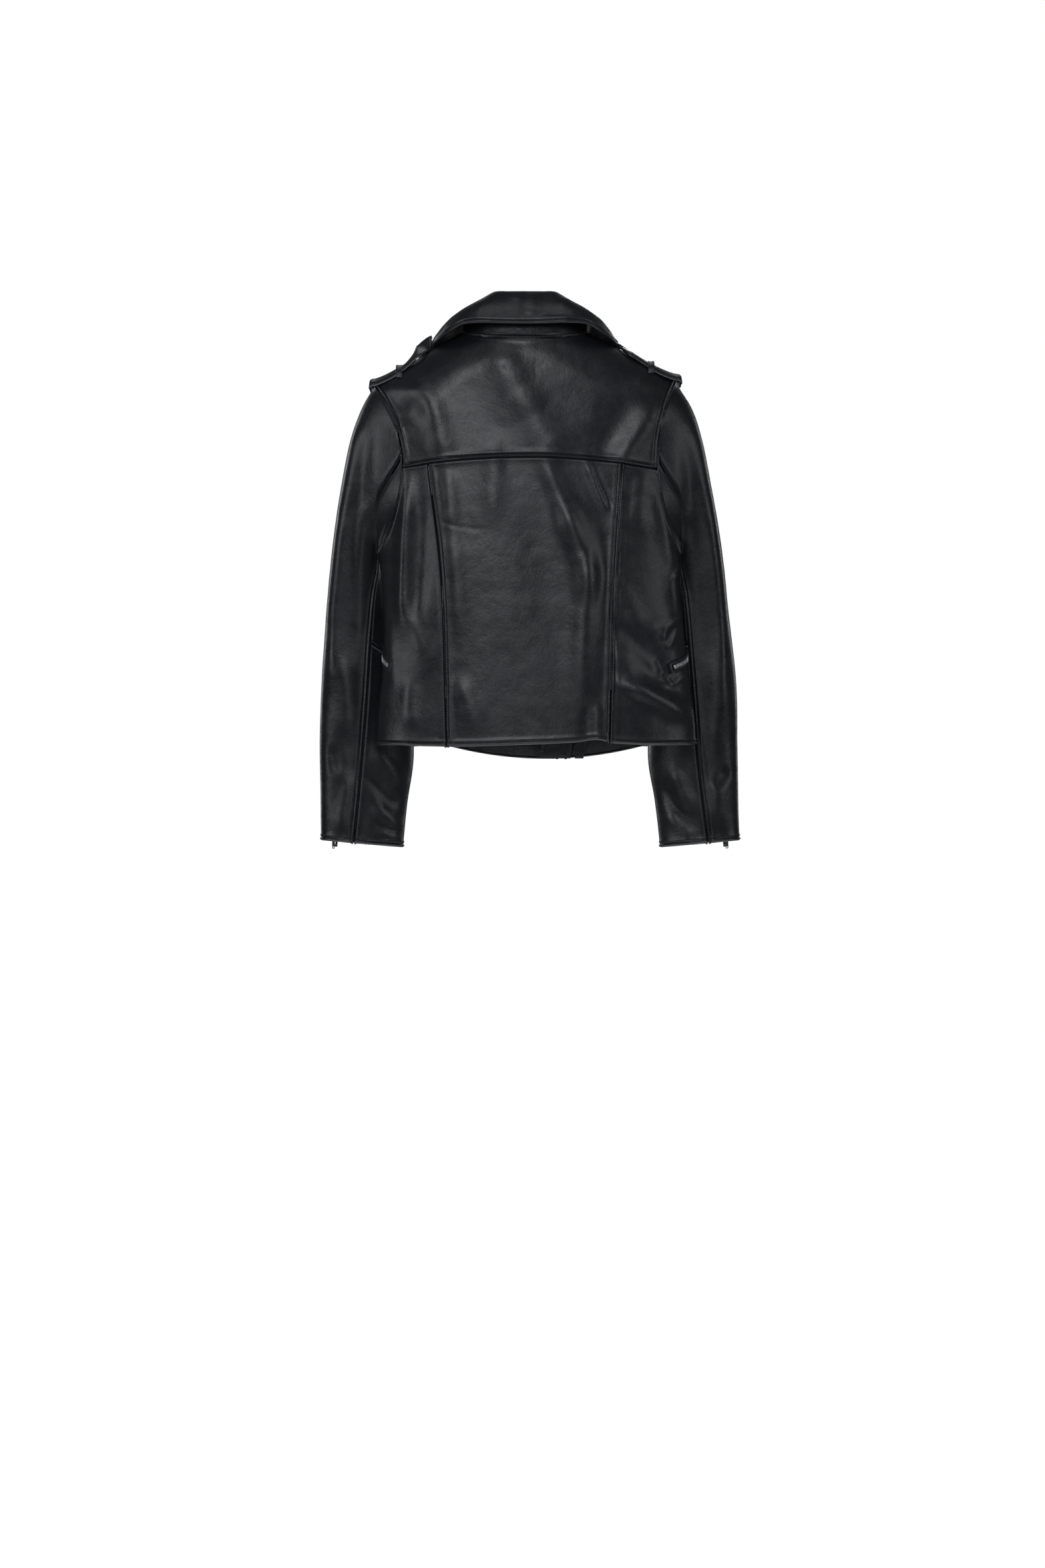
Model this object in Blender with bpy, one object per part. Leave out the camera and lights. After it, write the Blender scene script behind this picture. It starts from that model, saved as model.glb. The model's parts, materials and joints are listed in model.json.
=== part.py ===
"""Cropped leather riding jacket with an asymmetric front zip, in the shape it keeps on a hanger.

+X is the wearer's left, +Y the back, +Z up. The origin is the middle of the back neck, where the
jacket is held. Lengths below are in millimetres and are turned into metres when a mesh is made.
"""

import math

import bmesh
import bpy
from mathutils import Vector

MM = 0.001

# Driving dimensions
SHOULDER_TIP = {1: (203.0, -67.0), -1: (-204.0, -60.0)}
UNDERARM = {1: (200.0, -292.0), -1: (-210.0, -292.0)}
NECK_HALF_WIDTH = 88.0
NECK_SIDE_Z = 3.0
NECK_BACK_Z = -5.0
NECK_ROUNDING = 25.0
BACK_DEPTH = 56.0
FRONT_DEPTH = 54.0
RIDGE_Y = -6.0
SHOULDER_ROUND = 75.0
SIDE_SQUARENESS = 2.4
HEM_BACK_Z = -555.0
HEM_FRONT_Z = -574.0
LEATHER = 2.4
LINING = 1.0
LINING_INSET = 6.0
POCKET_INSET = 3.6
SEAM_GAP = 0.8
ARMHOLE_GAP = 2.0
UNDERARM_GAP = 5.6
UNDERARM_DROP = 2.6
SLEEVE_LINING_INSET = 7.0

# Half width of the body at each height, also where the armholes cut it away
LEFT_HALF_WIDTH = (
    (-600, 203), (-555, 202), (-513, 200), (-446, 193), (-356, 194),
    (-292, 201), (-185, 214), (-60, 234), (60, 250),
)
RIGHT_HALF_WIDTH = (
    (-600, 235), (-555, 233), (-513, 230), (-432, 219), (-333, 211),
    (-292, 211), (-185, 218), (-60, 236), (60, 250),
)
BODY_HALF_WIDTH = {1: LEFT_HALF_WIDTH, -1: RIGHT_HALF_WIDTH}
# How far the armhole curves in towards the chest, at the back and at the front
ARMHOLE_BOW = {1: (36.0, 44.0), -1: (28.0, 40.0)}
PRINCESS_SEAM = {
    1: ((-600, 105), (-554, 106), (-333, 113), (-182, 131)),
    -1: ((-600, -114), (-554, -114), (-333, -121), (-182, -130)),
}
FRONT_SEAM_TOP_TURN = 115.0
FRONT_SEAM_HEM_X = {1: 150.0, -1: -165.0}
YOKE_SEAM_CENTRE_Z = -169.0
YOKE_SEAM_END_Z = -182.0

# Main zip, lapel roll and collar
ZIP_TOP = (-103.0, -190.0)
ZIP_BOTTOM = (-50.0, -564.0)
ZIP_SLOT = 8.0
LAPEL_NECK = {1: (76.0, -40.0), -1: (-78.0, -38.0)}
# Shares of a front edge that the zip, and the zip and lapel roll together, take up
ZIP_SHARE = 0.6
ROLL_SHARE = 0.9

# Sleeve rings: outer edge, inner edge (x, y, z for the left arm) and half depth
SLEEVE_RINGS = (
    ((203, -6, -67), (200, -6, -292), 42.0),
    ((221, -10, -98), (203, -30, -307), 46.0),
    ((236, -16, -146), (198, -50, -326), 47.0),
    ((249, -24, -211), (187, -66, -354), 45.0),
    ((260, -33, -285), (175, -77, -393), 42.0),
    ((269, -43, -373), (163, -83, -448), 38.0),
    ((276, -52, -470), (154, -85, -515), 34.0),
    ((279, -58, -550), (152, -84, -575), 31.0),
    ((278, -61, -620), (160, -81, -632), 27.0),
    ((277, -62, -686), (166, -76, -696), 22.0),
)
# How much further out the right arm hangs, ring by ring, at its outer and its inner edge
RIGHT_ARM_SHIFT = ((1, 4, 2, 2, 4, 5, 9, 8, 10, 13), (10, 13, 13, 13, 14, 15, 15, 15, 16, 17))
SLEEVE_BOW = (36.0, 11.0, 2.0, 0.0, 0.0, 0.0, 0.0, 0.0, 0.0, 0.0)
# Where the back seam of the sleeve runs round each ring, in degrees from its outer edge
SLEEVE_BACK_SEAM = (81.0, 99.0, 124.0, 120.0, 107.0, 97.6, 91.0, 86.4, 83.7, 79.0)
SLEEVE_FRONT_SEAM = 96.0
SLEEVE_SEAM_TURN = 5.0
ELBOW_SEAM_RING = 5.0
SLEEVE_LINING_TOP_RING = 2.7
LAST_RING = len(SLEEVE_RINGS) - 1

# The middle of the left arm at each height, and how much further out the right one hangs
ARM_MIDDLE_X = ((-690, 221), (-570, 215), (-450, 214), (-350, 218), (-250, 230), (-150, 212), (-60, 205))
ARM_MIDDLE_Y = ((-690, -69), (-570, -71), (-450, -64), (-350, -52), (-250, -32), (-150, -14), (-60, -6))
RIGHT_ARM_MIDDLE_SHIFT = ((-690, 15), (-450, 12), (-250, 6), (-60, 2))

EPAULETTE_HALF_WIDTH = 18.0
EPAULETTE_HINGE_X = 164.0
KEEPER_X = 171.0
EPAULETTE_STIFF_X = 180.0
EPAULETTE_END_RISE = 4.0
EPAULETTE_TIP_X = 132.0
EPAULETTE_LIFT = 2.4
EPAULETTE_TIP_GAP = 1.6
# How far each pointed tip curls up off the shoulder
EPAULETTE_TIP_CURL = {1: 7.0, -1: 0.5}
EPAULETTE_SNAP_X = 142.0

CHAIN_WIDTH = 5.0
CHAIN_THICKNESS = 1.6
SLIDER_LENGTH = 12.0
SLIDER_WIDTH = 8.4
SLIDER_CLEARANCE = 0.5
SLIDER_HEIGHT = 1.3
LUG_HEIGHT = 1.1
PULLER_CLEARANCE = 0.4
PULLER_BAR = 1.7
PULLER_THICKNESS = 1.2
PULLER_LIFT = CHAIN_THICKNESS / 2 + SLIDER_CLEARANCE + SLIDER_HEIGHT + LUG_HEIGHT + PULLER_CLEARANCE

materials = {}


def clear_scene():
    for thing in list(bpy.data.objects):
        bpy.data.objects.remove(thing, do_unlink=True)


def material(name, colour, roughness, metallic=0.0):
    made = bpy.data.materials.new(name)
    made.use_nodes = True
    shader = made.node_tree.nodes["Principled BSDF"]
    shader.inputs["Base Color"].default_value = (*colour, 1.0)
    shader.inputs["Roughness"].default_value = roughness
    shader.inputs["Metallic"].default_value = metallic
    made.diffuse_color = (*colour, 1.0)
    materials[name] = made


def between(a, b, share):
    return a + (b - a) * share


def read_curve(points, at):
    """The value at a key, on a smooth curve through (key, value) pairs in rising order of key."""
    if at <= points[0][0]:
        return points[0][1]
    if at >= points[-1][0]:
        return points[-1][1]
    i = max(k for k in range(len(points) - 1) if points[k][0] <= at)
    (k0, v0), (k1, v1) = points[i], points[i + 1]
    slope_in = slope_at(points, i)
    slope_out = slope_at(points, i + 1)
    s = (at - k0) / (k1 - k0)
    span = k1 - k0
    return (
        v0 * (2 * s**3 - 3 * s**2 + 1)
        + slope_in * span * (s**3 - 2 * s**2 + s)
        + v1 * (3 * s**2 - 2 * s**3)
        + slope_out * span * (s**3 - s**2)
    )


def slope_at(points, i):
    lower = points[max(i - 1, 0)]
    upper = points[min(i + 1, len(points) - 1)]
    return (upper[1] - lower[1]) / (upper[0] - lower[0])


def smooth_path(points, steps):
    """Points at even parameter steps on a smooth curve through 3-D points."""
    last = len(points) - 1
    tables = [tuple((float(i), point[axis]) for i, point in enumerate(points)) for axis in range(3)]
    return [Vector(read_curve(table, last * k / steps) for table in tables) for k in range(steps + 1)]


# ---------------------------------------------------------------- the body's surface


def ridge_z(x):
    """Height of the shoulder ridge, carried on over the neck opening as a rounded peak."""
    across = math.sqrt(x * x + NECK_ROUNDING**2) - 3.5
    side = 1 if x > 0 else -1
    tip_x, tip_z = SHOULDER_TIP[side]
    slope = (tip_z - NECK_SIDE_Z) / (abs(tip_x) - NECK_HALF_WIDTH)
    return NECK_SIDE_Z + slope * (across - NECK_HALF_WIDTH)


def shoulder_roll(drop):
    """Share of the full depth that the surface has reached this far below the ridge."""
    share = min(max(drop, 0.0) / SHOULDER_ROUND, 1.0)
    return math.sqrt(1.0 - (1.0 - share) ** 2)


def half_width(side, z):
    return read_curve(BODY_HALF_WIDTH[side], z)


def body_depth(front, z):
    if front:
        return FRONT_DEPTH
    return BACK_DEPTH - 4.0 * min(max((-300.0 - z) / 255.0, 0.0), 1.0)


def body_point(side, turn, z, inset=0.0):
    """A point of the body. turn is 90 degrees at the middle of the back, 0 at the side, -90 in front."""
    front = turn < 0
    wide = half_width(side, z) - inset
    x = side * wide * math.cos(turn) ** (2.0 / SIDE_SQUARENESS)
    out = abs(math.sin(turn))
    deep = body_depth(front, z) - inset
    reach = deep * out * shoulder_roll(ridge_z(x) - inset - z) + SEAM_GAP / 2 * min(1.0, 4.0 * out)
    return Vector((x, RIDGE_Y + (-reach if front else reach), z))


def turn_at(side, x, z, front):
    """The turn at which the body's surface has this x at this height."""
    share = min(abs(x) / half_width(side, z), 1.0)
    turn = math.acos(share ** (SIDE_SQUARENESS / 2.0))
    return -turn if front else turn


def on_body(x, z, front, inset=0.0):
    side = 1 if x >= 0 else -1
    share = min(abs(x) / (half_width(side, z) - inset), 1.0)
    turn = math.acos(share ** (SIDE_SQUARENESS / 2.0))
    point = body_point(side, -turn if front else turn, z, inset)
    return Vector((x, point.y, z))


def armhole(side, turn_degrees, front):
    """(x, z) on the armhole, from 0 at the shoulder tip to 180 at the underarm."""
    turn = math.radians(turn_degrees)
    share = (1.0 - math.cos(turn)) / 2.0
    bow = ARMHOLE_BOW[side][1 if front else 0]
    x = between(SHOULDER_TIP[side][0], UNDERARM[side][0], share) - side * bow * math.sin(turn) ** 2
    return x, between(SHOULDER_TIP[side][1], UNDERARM[side][1], share)


def armhole_turn_at(side, z):
    share = (z - SHOULDER_TIP[side][1]) / (UNDERARM[side][1] - SHOULDER_TIP[side][1])
    return math.degrees(math.acos(1.0 - 2.0 * share))


def yoke_seam_z(x):
    return YOKE_SEAM_CENTRE_Z + (YOKE_SEAM_END_Z - YOKE_SEAM_CENTRE_Z) * (x / 170.0) ** 2


def neck_z(x):
    return NECK_BACK_Z + (NECK_SIDE_Z - NECK_BACK_Z) * (x / NECK_HALF_WIDTH) ** 2


def front_hem_z(x):
    return HEM_FRONT_Z + 12.0 * min((abs(x + 40.0) / 170.0) ** 2, 1.0)


# ---------------------------------------------------------------- making objects


def add_object(name, bm, surface, origin=(0.0, 0.0, 0.0), smooth=True):
    """An object from a bmesh in millimetres, with its origin at the given point."""
    start = Vector(origin)
    for vertex in bm.verts:
        vertex.co = (vertex.co - start) * MM
    mesh = bpy.data.meshes.new(name)
    bm.to_mesh(mesh)
    bm.free()
    mesh.materials.append(materials[surface])
    if smooth:
        mesh.shade_smooth()
        mesh.set_sharp_from_angle(angle=math.radians(50))
    made = bpy.data.objects.new(name, mesh)
    made.location = start * MM
    bpy.context.scene.collection.objects.link(made)
    return made


def panel(name, rows, surface, thickness=LEATHER, origin=(0.0, 0.0, 0.0), outward=None, closed=False):
    """A sheet of even thickness from rows of points on its outer face, which faces the way of outward."""
    bm = bmesh.new()
    grid = [[bm.verts.new(point) for point in row] for row in rows]
    for upper, lower in zip(grid, grid[1:]):
        count = len(upper) if closed else len(upper) - 1
        for i in range(count):
            j = (i + 1) % len(upper)
            bm.faces.new((upper[i], upper[j], lower[j], lower[i]))
    bm.normal_update()
    facing = sum((face.normal.dot(outward(face.calc_center_median())) for face in bm.faces))
    if facing < 0:
        bmesh.ops.reverse_faces(bm, faces=bm.faces[:])
    made = add_object(name, bm, surface, origin)
    shell = made.modifiers.new("thickness", "SOLIDIFY")
    shell.thickness = thickness * MM
    shell.offset = -1.0
    shell.use_even_offset = False
    return made


def away_from_middle(point):
    """Roughly outwards on the body: away from its long flat middle."""
    return Vector((point.x * 0.1, point.y - RIDGE_Y, 0.0))


# ---------------------------------------------------------------- the body's panels


def build_back_yoke():
    columns, rows = 18, 8
    grid = []
    for j in range(rows + 1):
        down = (j / rows) ** 1.6
        row = []
        for i in range(columns + 1):
            across = 2.0 * i / columns - 1.0
            side = 1 if across >= 0 else -1
            tip_x, tip_z = SHOULDER_TIP[side]
            end_z = between(tip_z, YOKE_SEAM_END_Z + SEAM_GAP, down)
            edge_x = armhole(side, armhole_turn_at(side, end_z), False)[0]
            x = abs(across) * edge_x
            top_x = abs(across) * tip_x
            top = neck_z(top_x) if abs(top_x) < NECK_HALF_WIDTH else ridge_z(top_x)
            low = yoke_seam_z(x) + SEAM_GAP if abs(across) < 1 else end_z
            z = between(top, low, down) if abs(across) < 1 else end_z
            row.append(on_body(x, min(z, ridge_z(x)), False))
        grid.append(row)
    return panel("back_yoke", grid, "leather", outward=away_from_middle)


def build_back_centre_panel():
    columns, rows = 8, 12
    grid = []
    for j in range(rows + 1):
        row = []
        for i in range(columns + 1):
            z_row = between(YOKE_SEAM_END_Z, HEM_BACK_Z, j / rows)
            left = read_curve(PRINCESS_SEAM[1], z_row) - SEAM_GAP / 2
            right = read_curve(PRINCESS_SEAM[-1], z_row) + SEAM_GAP / 2
            x = between(right, left, i / columns)
            z = between(yoke_seam_z(x), HEM_BACK_Z, j / rows)
            row.append(on_body(x, z, False))
        grid.append(row)
    return panel("back_centre_panel", grid, "leather", outward=away_from_middle)


def princess_x(side, z):
    """The side panel's edge along the seam that runs down the back."""
    return read_curve(PRINCESS_SEAM[side], z) + side * SEAM_GAP / 2


def side_panel_top(side):
    """(turn, z) along the panel's top: the yoke seam, then down the armhole and up to the front seam."""
    path = []
    seam_x = princess_x(side, YOKE_SEAM_END_Z)
    start = armhole_turn_at(side, YOKE_SEAM_END_Z)
    edge_x = armhole(side, start, False)[0]
    for k in range(2):
        x = between(seam_x, edge_x, k / 2)
        path.append((turn_at(side, x, yoke_seam_z(x), False), yoke_seam_z(x)))
    around = [(between(start, 180.0, k / 6), False) for k in range(6)]
    around += [(between(180.0, FRONT_SEAM_TOP_TURN, k / 5), True) for k in range(6)]
    for turn, front in around:
        x, z = armhole(side, turn, front)
        low = (1.0 - math.cos(math.radians(turn))) / 2.0
        path.append((turn_at(side, x, z, front), z - UNDERARM_DROP * low**4))
    return path


def front_seam_x(side, z):
    """The straight front seam, from the armhole down to the hem."""
    top_x, top_z = armhole(side, FRONT_SEAM_TOP_TURN, True)
    hem_x = FRONT_SEAM_HEM_X[side]
    return between(hem_x, top_x, (z - front_hem_z(hem_x)) / (top_z - front_hem_z(hem_x)))


def build_side_panel(side, name):
    rows = 12
    top = side_panel_top(side)
    columns = len(top) - 1
    hem_start = turn_at(side, princess_x(side, HEM_BACK_Z), HEM_BACK_Z, False)
    hem_x = FRONT_SEAM_HEM_X[side]
    hem_end = turn_at(side, hem_x + side * SEAM_GAP / 2, front_hem_z(hem_x), True)
    grid = []
    for j in range(rows + 1):
        down = j / rows
        row = []
        for i, (turn, z) in enumerate(top):
            across = i / columns
            hem_z = between(HEM_BACK_Z, front_hem_z(hem_x), across)
            this_z = between(z, hem_z, down)
            this_turn = between(turn, between(hem_start, hem_end, across), down)
            if i == 0:
                this_turn = turn_at(side, princess_x(side, this_z), this_z, False)
            if i == columns:
                this_turn = turn_at(side, front_seam_x(side, this_z) + side * SEAM_GAP / 2, this_z, True)
            row.append(body_point(side, this_turn, this_z))
        grid.append(row)
    return panel(name, grid, "leather", outward=away_from_middle)


def front_outer_edge(side, share):
    """(x, z) up the outer edge of a front panel: the front seam, then the armhole to the shoulder tip."""
    if share <= ZIP_SHARE:
        seam_top_z = armhole(side, FRONT_SEAM_TOP_TURN, True)[1]
        z = between(front_hem_z(FRONT_SEAM_HEM_X[side]), seam_top_z, share / ZIP_SHARE)
        return front_seam_x(side, z) - side * SEAM_GAP / 2, z
    return armhole(side, between(FRONT_SEAM_TOP_TURN, 0.0, (share - ZIP_SHARE) / (1.0 - ZIP_SHARE)), True)


def front_inner_edge(side, share):
    """(x, z) up the inner edge of a front panel: the zip, the lapel roll, then the neck."""
    beside_zip = side * ZIP_SLOT / 2
    neck_x, gorge_z = LAPEL_NECK[side]
    if share <= ZIP_SHARE:
        part = share / ZIP_SHARE
        return between(ZIP_BOTTOM[0], ZIP_TOP[0], part) + beside_zip, between(HEM_FRONT_Z, ZIP_TOP[1], part)
    if share <= ROLL_SHARE:
        part = (share - ZIP_SHARE) / (ROLL_SHARE - ZIP_SHARE)
        return between(ZIP_TOP[0] + beside_zip, neck_x, part), between(ZIP_TOP[1], gorge_z, part)
    part = (share - ROLL_SHARE) / (1.0 - ROLL_SHARE)
    return between(neck_x, side * NECK_HALF_WIDTH, part), between(gorge_z, NECK_SIDE_Z, part)


def build_front_panel(side, name):
    columns, rows = 8, 20
    grid = []
    for j in range(rows + 1):
        up = j / rows
        inner_x, inner_z = front_inner_edge(side, up)
        outer_x, outer_z = front_outer_edge(side, up)
        row = []
        for i in range(columns + 1):
            x = between(inner_x, outer_x, i / columns)
            z = between(inner_z, outer_z, i / columns)
            if j == 0:
                z = front_hem_z(x)
            row.append(on_body(x, min(z, ridge_z(x)), True))
        grid.append(row)
    return panel(name, grid, "leather", outward=away_from_middle)


# ---------------------------------------------------------------- sleeves


def ring_table(side, part, axis):
    table = []
    for i, ring in enumerate(SLEEVE_RINGS):
        value = ring[part][axis]
        if axis == 0:
            value = value if side > 0 else -(value + RIGHT_ARM_SHIFT[part][i])
        table.append((float(i), value))
    return table


SLEEVE_TABLES = {
    side: [[ring_table(side, part, axis) for axis in range(3)] for part in range(2)] for side in (1, -1)
}
RING_KEYS = tuple(float(i) for i in range(len(SLEEVE_RINGS)))
HALF_DEPTH_TABLE = tuple(zip(RING_KEYS, (ring[2] for ring in SLEEVE_RINGS)))
BOW_TABLE = tuple(zip(RING_KEYS, SLEEVE_BOW))
BACK_SEAM_TABLE = tuple(zip(RING_KEYS, SLEEVE_BACK_SEAM))


def sleeve_point(side, ring, turn_degrees):
    """A point of the sleeve. turn is 0 on the outer edge, 90 at the back, 180 at the inner edge."""
    turn = math.radians(turn_degrees)
    outer = Vector(read_curve(table, ring) for table in SLEEVE_TABLES[side][0])
    inner = Vector(read_curve(table, ring) for table in SLEEVE_TABLES[side][1])
    deep = read_curve(HALF_DEPTH_TABLE, ring)
    bow = read_curve(BOW_TABLE, ring) * math.sin(turn) ** 2
    point = (outer + inner) / 2 + (outer - inner) / 2 * math.cos(turn)
    point += Vector((-side * bow, deep * math.sin(turn), 0.0))
    at_armhole = max(0.0, 1.0 - ring / 1.2) ** 2
    if at_armhole > 0:
        front = math.sin(turn) < 0
        x, z = armhole(side, math.degrees(math.acos(max(-1.0, min(1.0, math.cos(turn))))), front)
        seat = on_body(x, z, front)
        low = (1.0 - math.cos(turn)) / 2.0
        seat.x += side * between(ARMHOLE_GAP, UNDERARM_GAP, low**4)
        point = point.lerp(seat, at_armhole)
    return point


def inside_sleeve(side, ring, turn_degrees, inset):
    """A point of the sleeve moved this far level towards the middle of the arm at its height."""
    point = sleeve_point(side, ring, turn_degrees)
    x = read_curve(ARM_MIDDLE_X, point.z)
    x = x if side > 0 else -(x + read_curve(RIGHT_ARM_MIDDLE_SHIFT, point.z))
    inwards = Vector((x - point.x, read_curve(ARM_MIDDLE_Y, point.z) - point.y, 0.0))
    return point + inwards.normalized() * inset


def sleeve_grid(side, first_ring, last_ring, start_turn, end_turn, columns, rows):
    """Rows of points on the sleeve. start_turn and end_turn give each long edge's turn at a ring."""
    grid = []
    for j in range(rows + 1):
        ring = between(first_ring, last_ring, j / rows)
        first = start_turn(ring)
        last = end_turn(ring)
        grid.append([sleeve_point(side, ring, between(first, last, i / columns)) for i in range(columns + 1)])
    return grid


def away_from_sleeve(side):
    middles = [sleeve_middle(side, k / 2) for k in range(2 * LAST_RING + 1)]

    def outward(point):
        nearest = min(middles, key=lambda middle: (middle - point).length)
        return point - nearest

    return outward


def sleeve_middle(side, ring):
    return (sleeve_point(side, ring, 0) + sleeve_point(side, ring, 180)) / 2


def build_sleeve(side, word):
    def back_seam(ring):
        return read_curve(BACK_SEAM_TABLE, ring)

    def upper_front(ring):
        return SLEEVE_SEAM_TURN - SLEEVE_FRONT_SEAM

    def upper_back(ring):
        return back_seam(ring) - SLEEVE_SEAM_TURN

    def under_back(ring):
        return back_seam(ring) + SLEEVE_SEAM_TURN

    def under_front(ring):
        return 360.0 - SLEEVE_FRONT_SEAM - SLEEVE_SEAM_TURN

    facing = away_from_sleeve(side)
    upper = sleeve_grid(side, 0.0, LAST_RING, upper_front, upper_back, 8, 18)
    origin = sleeve_hinge(side)
    panel(f"upper_sleeve_{word}", upper, "leather", origin=origin, outward=facing)
    for part, first, last, rows in (
        ("under_sleeve", 0.0, ELBOW_SEAM_RING - 0.01, 10),
        ("under_forearm", ELBOW_SEAM_RING + 0.01, float(LAST_RING), 8),
    ):
        grid = sleeve_grid(side, first, last, under_back, under_front, 7, rows)
        panel(f"{part}_{word}", grid, "leather", origin=origin, outward=facing)
    lining = []
    for j in range(14):
        ring = between(SLEEVE_LINING_TOP_RING, LAST_RING - 0.25, j / 13)
        lining.append([inside_sleeve(side, ring, 360.0 * i / 14, SLEEVE_LINING_INSET) for i in range(14)])
    panel(f"sleeve_lining_{word}", lining, "lining", LINING, origin, facing, closed=True)


def sleeve_hinge(side):
    """The swing axis runs front to back over the shoulder tip."""
    tip_x, tip_z = SHOULDER_TIP[side]
    return Vector((tip_x, RIDGE_Y, tip_z))


# ---------------------------------------------------------------- collar and lapels

# Half of the collar, from the middle of the back to the front end: fold line and outer edge
COLLAR_FOLD = (
    (0, 35, 56), (22, 34.5, 56), (42, 32, 55.5), (58, 24, 45),
    (72, 8, 33), (82, -14, 19), (87, -38, 0), (82, -62, -32),
)
COLLAR_EDGE = (
    (0, 60, 10), (30, 59.5, 10.5), (60, 57, 12), (84, 50, 12),
    (102, 34, 3), (119, 8, -7), (127, -20, -15), (124, -66, -56),
)
# The stand, from the neck seam up to just under the fold
STAND_FOOT = (
    (0, 47, -3.5), (26, 45.5, -3), (48, 41, -1), (66, 31, 1),
    (80, 14, 4), (83, -8, 5), (80, -28, -4), (74, -42, -34),
)
STAND_TOP = (
    (0, 31, 53), (22, 30.5, 53), (40, 28, 52), (55, 19, 41),
    (68, 4, 29), (77, -15, 15), (81, -36, -3), (77, -56, -33),
)


def both_sides(half):
    """The whole curve from the right end round the back to the left end."""
    right = [Vector((-x, y, z)) for x, y, z in reversed(half[1:])]
    return right + [Vector(point) for point in half]


def loft(first, last, bulge, steps, rows):
    """Rows of points from one curve to another, bowed outwards between them."""
    upper = smooth_path(first, steps)
    lower = smooth_path(last, steps)
    grid = []
    for j in range(rows + 1):
        share = j / rows
        row = []
        for a, b in zip(upper, lower):
            point = a.lerp(b, share)
            out = Vector((point.x, point.y, 0)).normalized() + Vector((0, 0, 0.6))
            row.append(point + out * bulge * math.sin(math.pi * share) ** 0.8)
        grid.append(row)
    return grid


def away_from_neck(point):
    return Vector((point.x, point.y + 10.0, 30.0))


def build_collar():
    leaf = loft(both_sides(COLLAR_FOLD), both_sides(COLLAR_EDGE), 5.0, 22, 4)
    panel("collar", leaf, "leather", outward=away_from_neck)
    stand = loft(both_sides(STAND_FOOT), both_sides(STAND_TOP), 1.0, 22, 3)
    panel("collar_stand", stand, "leather", outward=lambda p: Vector((p.x, p.y + 10.0, 0.0)))


LAPEL_OUTLINE = {
    1: ((76, -40), (96, -78), (92, -112), (22, -222), (-103, -190)),
    -1: ((-78, -38), (-106, -62), (-124, -92), (-160, -150), (-107, -190)),
}
LAPEL_CLEARANCE = 2.4


def lapel_axis(side):
    """Two points on the roll line's hinge axis, at the neck and at the break above the zip."""
    ends = []
    for x, z in (LAPEL_OUTLINE[side][0], LAPEL_OUTLINE[side][-1]):
        point = on_body(x, z, True)
        ends.append(point + Vector((0.0, -LAPEL_CLEARANCE, 0.0)))
    return ends


def build_lapel(side, word):
    """A leather flap folded back from the roll line onto the chest."""
    outline = LAPEL_OUTLINE[side]
    neck, notch, corner, tip, end = (Vector((x, 0, z)) for x, z in outline)
    columns, rows = 6, 10
    grid = []
    for j in range(rows + 1):
        share = j / rows
        root = neck.lerp(end, share)
        if share < 0.35:
            far = notch.lerp(corner, share / 0.35)
        elif share < 0.8:
            far = corner.lerp(tip, (share - 0.35) / 0.45)
        else:
            far = tip.lerp(end, (share - 0.8) / 0.2 * 0.93)
        row = []
        for i in range(columns + 1):
            out = 0.03 + 0.97 * i / columns
            place = root.lerp(far, out)
            point = on_body(place.x, place.z, True)
            lift = LAPEL_CLEARANCE + LEATHER + 3.0 * math.sin(math.pi * min(out, 1.0)) ** 0.7
            row.append(point + Vector((0.0, -lift, 0.0)))
        grid.append(row)
    origin = lapel_axis(side)[0]
    panel(f"lapel_{word}", grid, "leather", origin=origin, outward=lambda p: Vector((0, -1, 0)))


# ---------------------------------------------------------------- epaulettes


def over_shoulder(x, across, lift):
    """A point this far above the shoulder and this far behind its ridge."""
    side = 1 if x > 0 else -1
    wide = half_width(side, SHOULDER_TIP[side][1])
    deep = BACK_DEPTH * math.sqrt(1.0 - (min(abs(x), EPAULETTE_STIFF_X) / wide) ** SIDE_SQUARENESS)
    fall = SHOULDER_ROUND * (1.0 - math.sqrt(max(0.0, 1.0 - (across / deep) ** 2)))
    return Vector((x, RIDGE_Y + across, ridge_z(x) - fall + lift))


def strap_rows(side, places, half_widths):
    """Rows across the strap: places are (x, lift) pairs along it, in order."""
    grid = []
    for (x, lift), half in zip(places, half_widths):
        grid.append([over_shoulder(side * x, half * (i / 3.0 - 1.0), lift) for i in range(7)])
    return grid


def upwards(point):
    return Vector((0, 0, 1))


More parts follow.
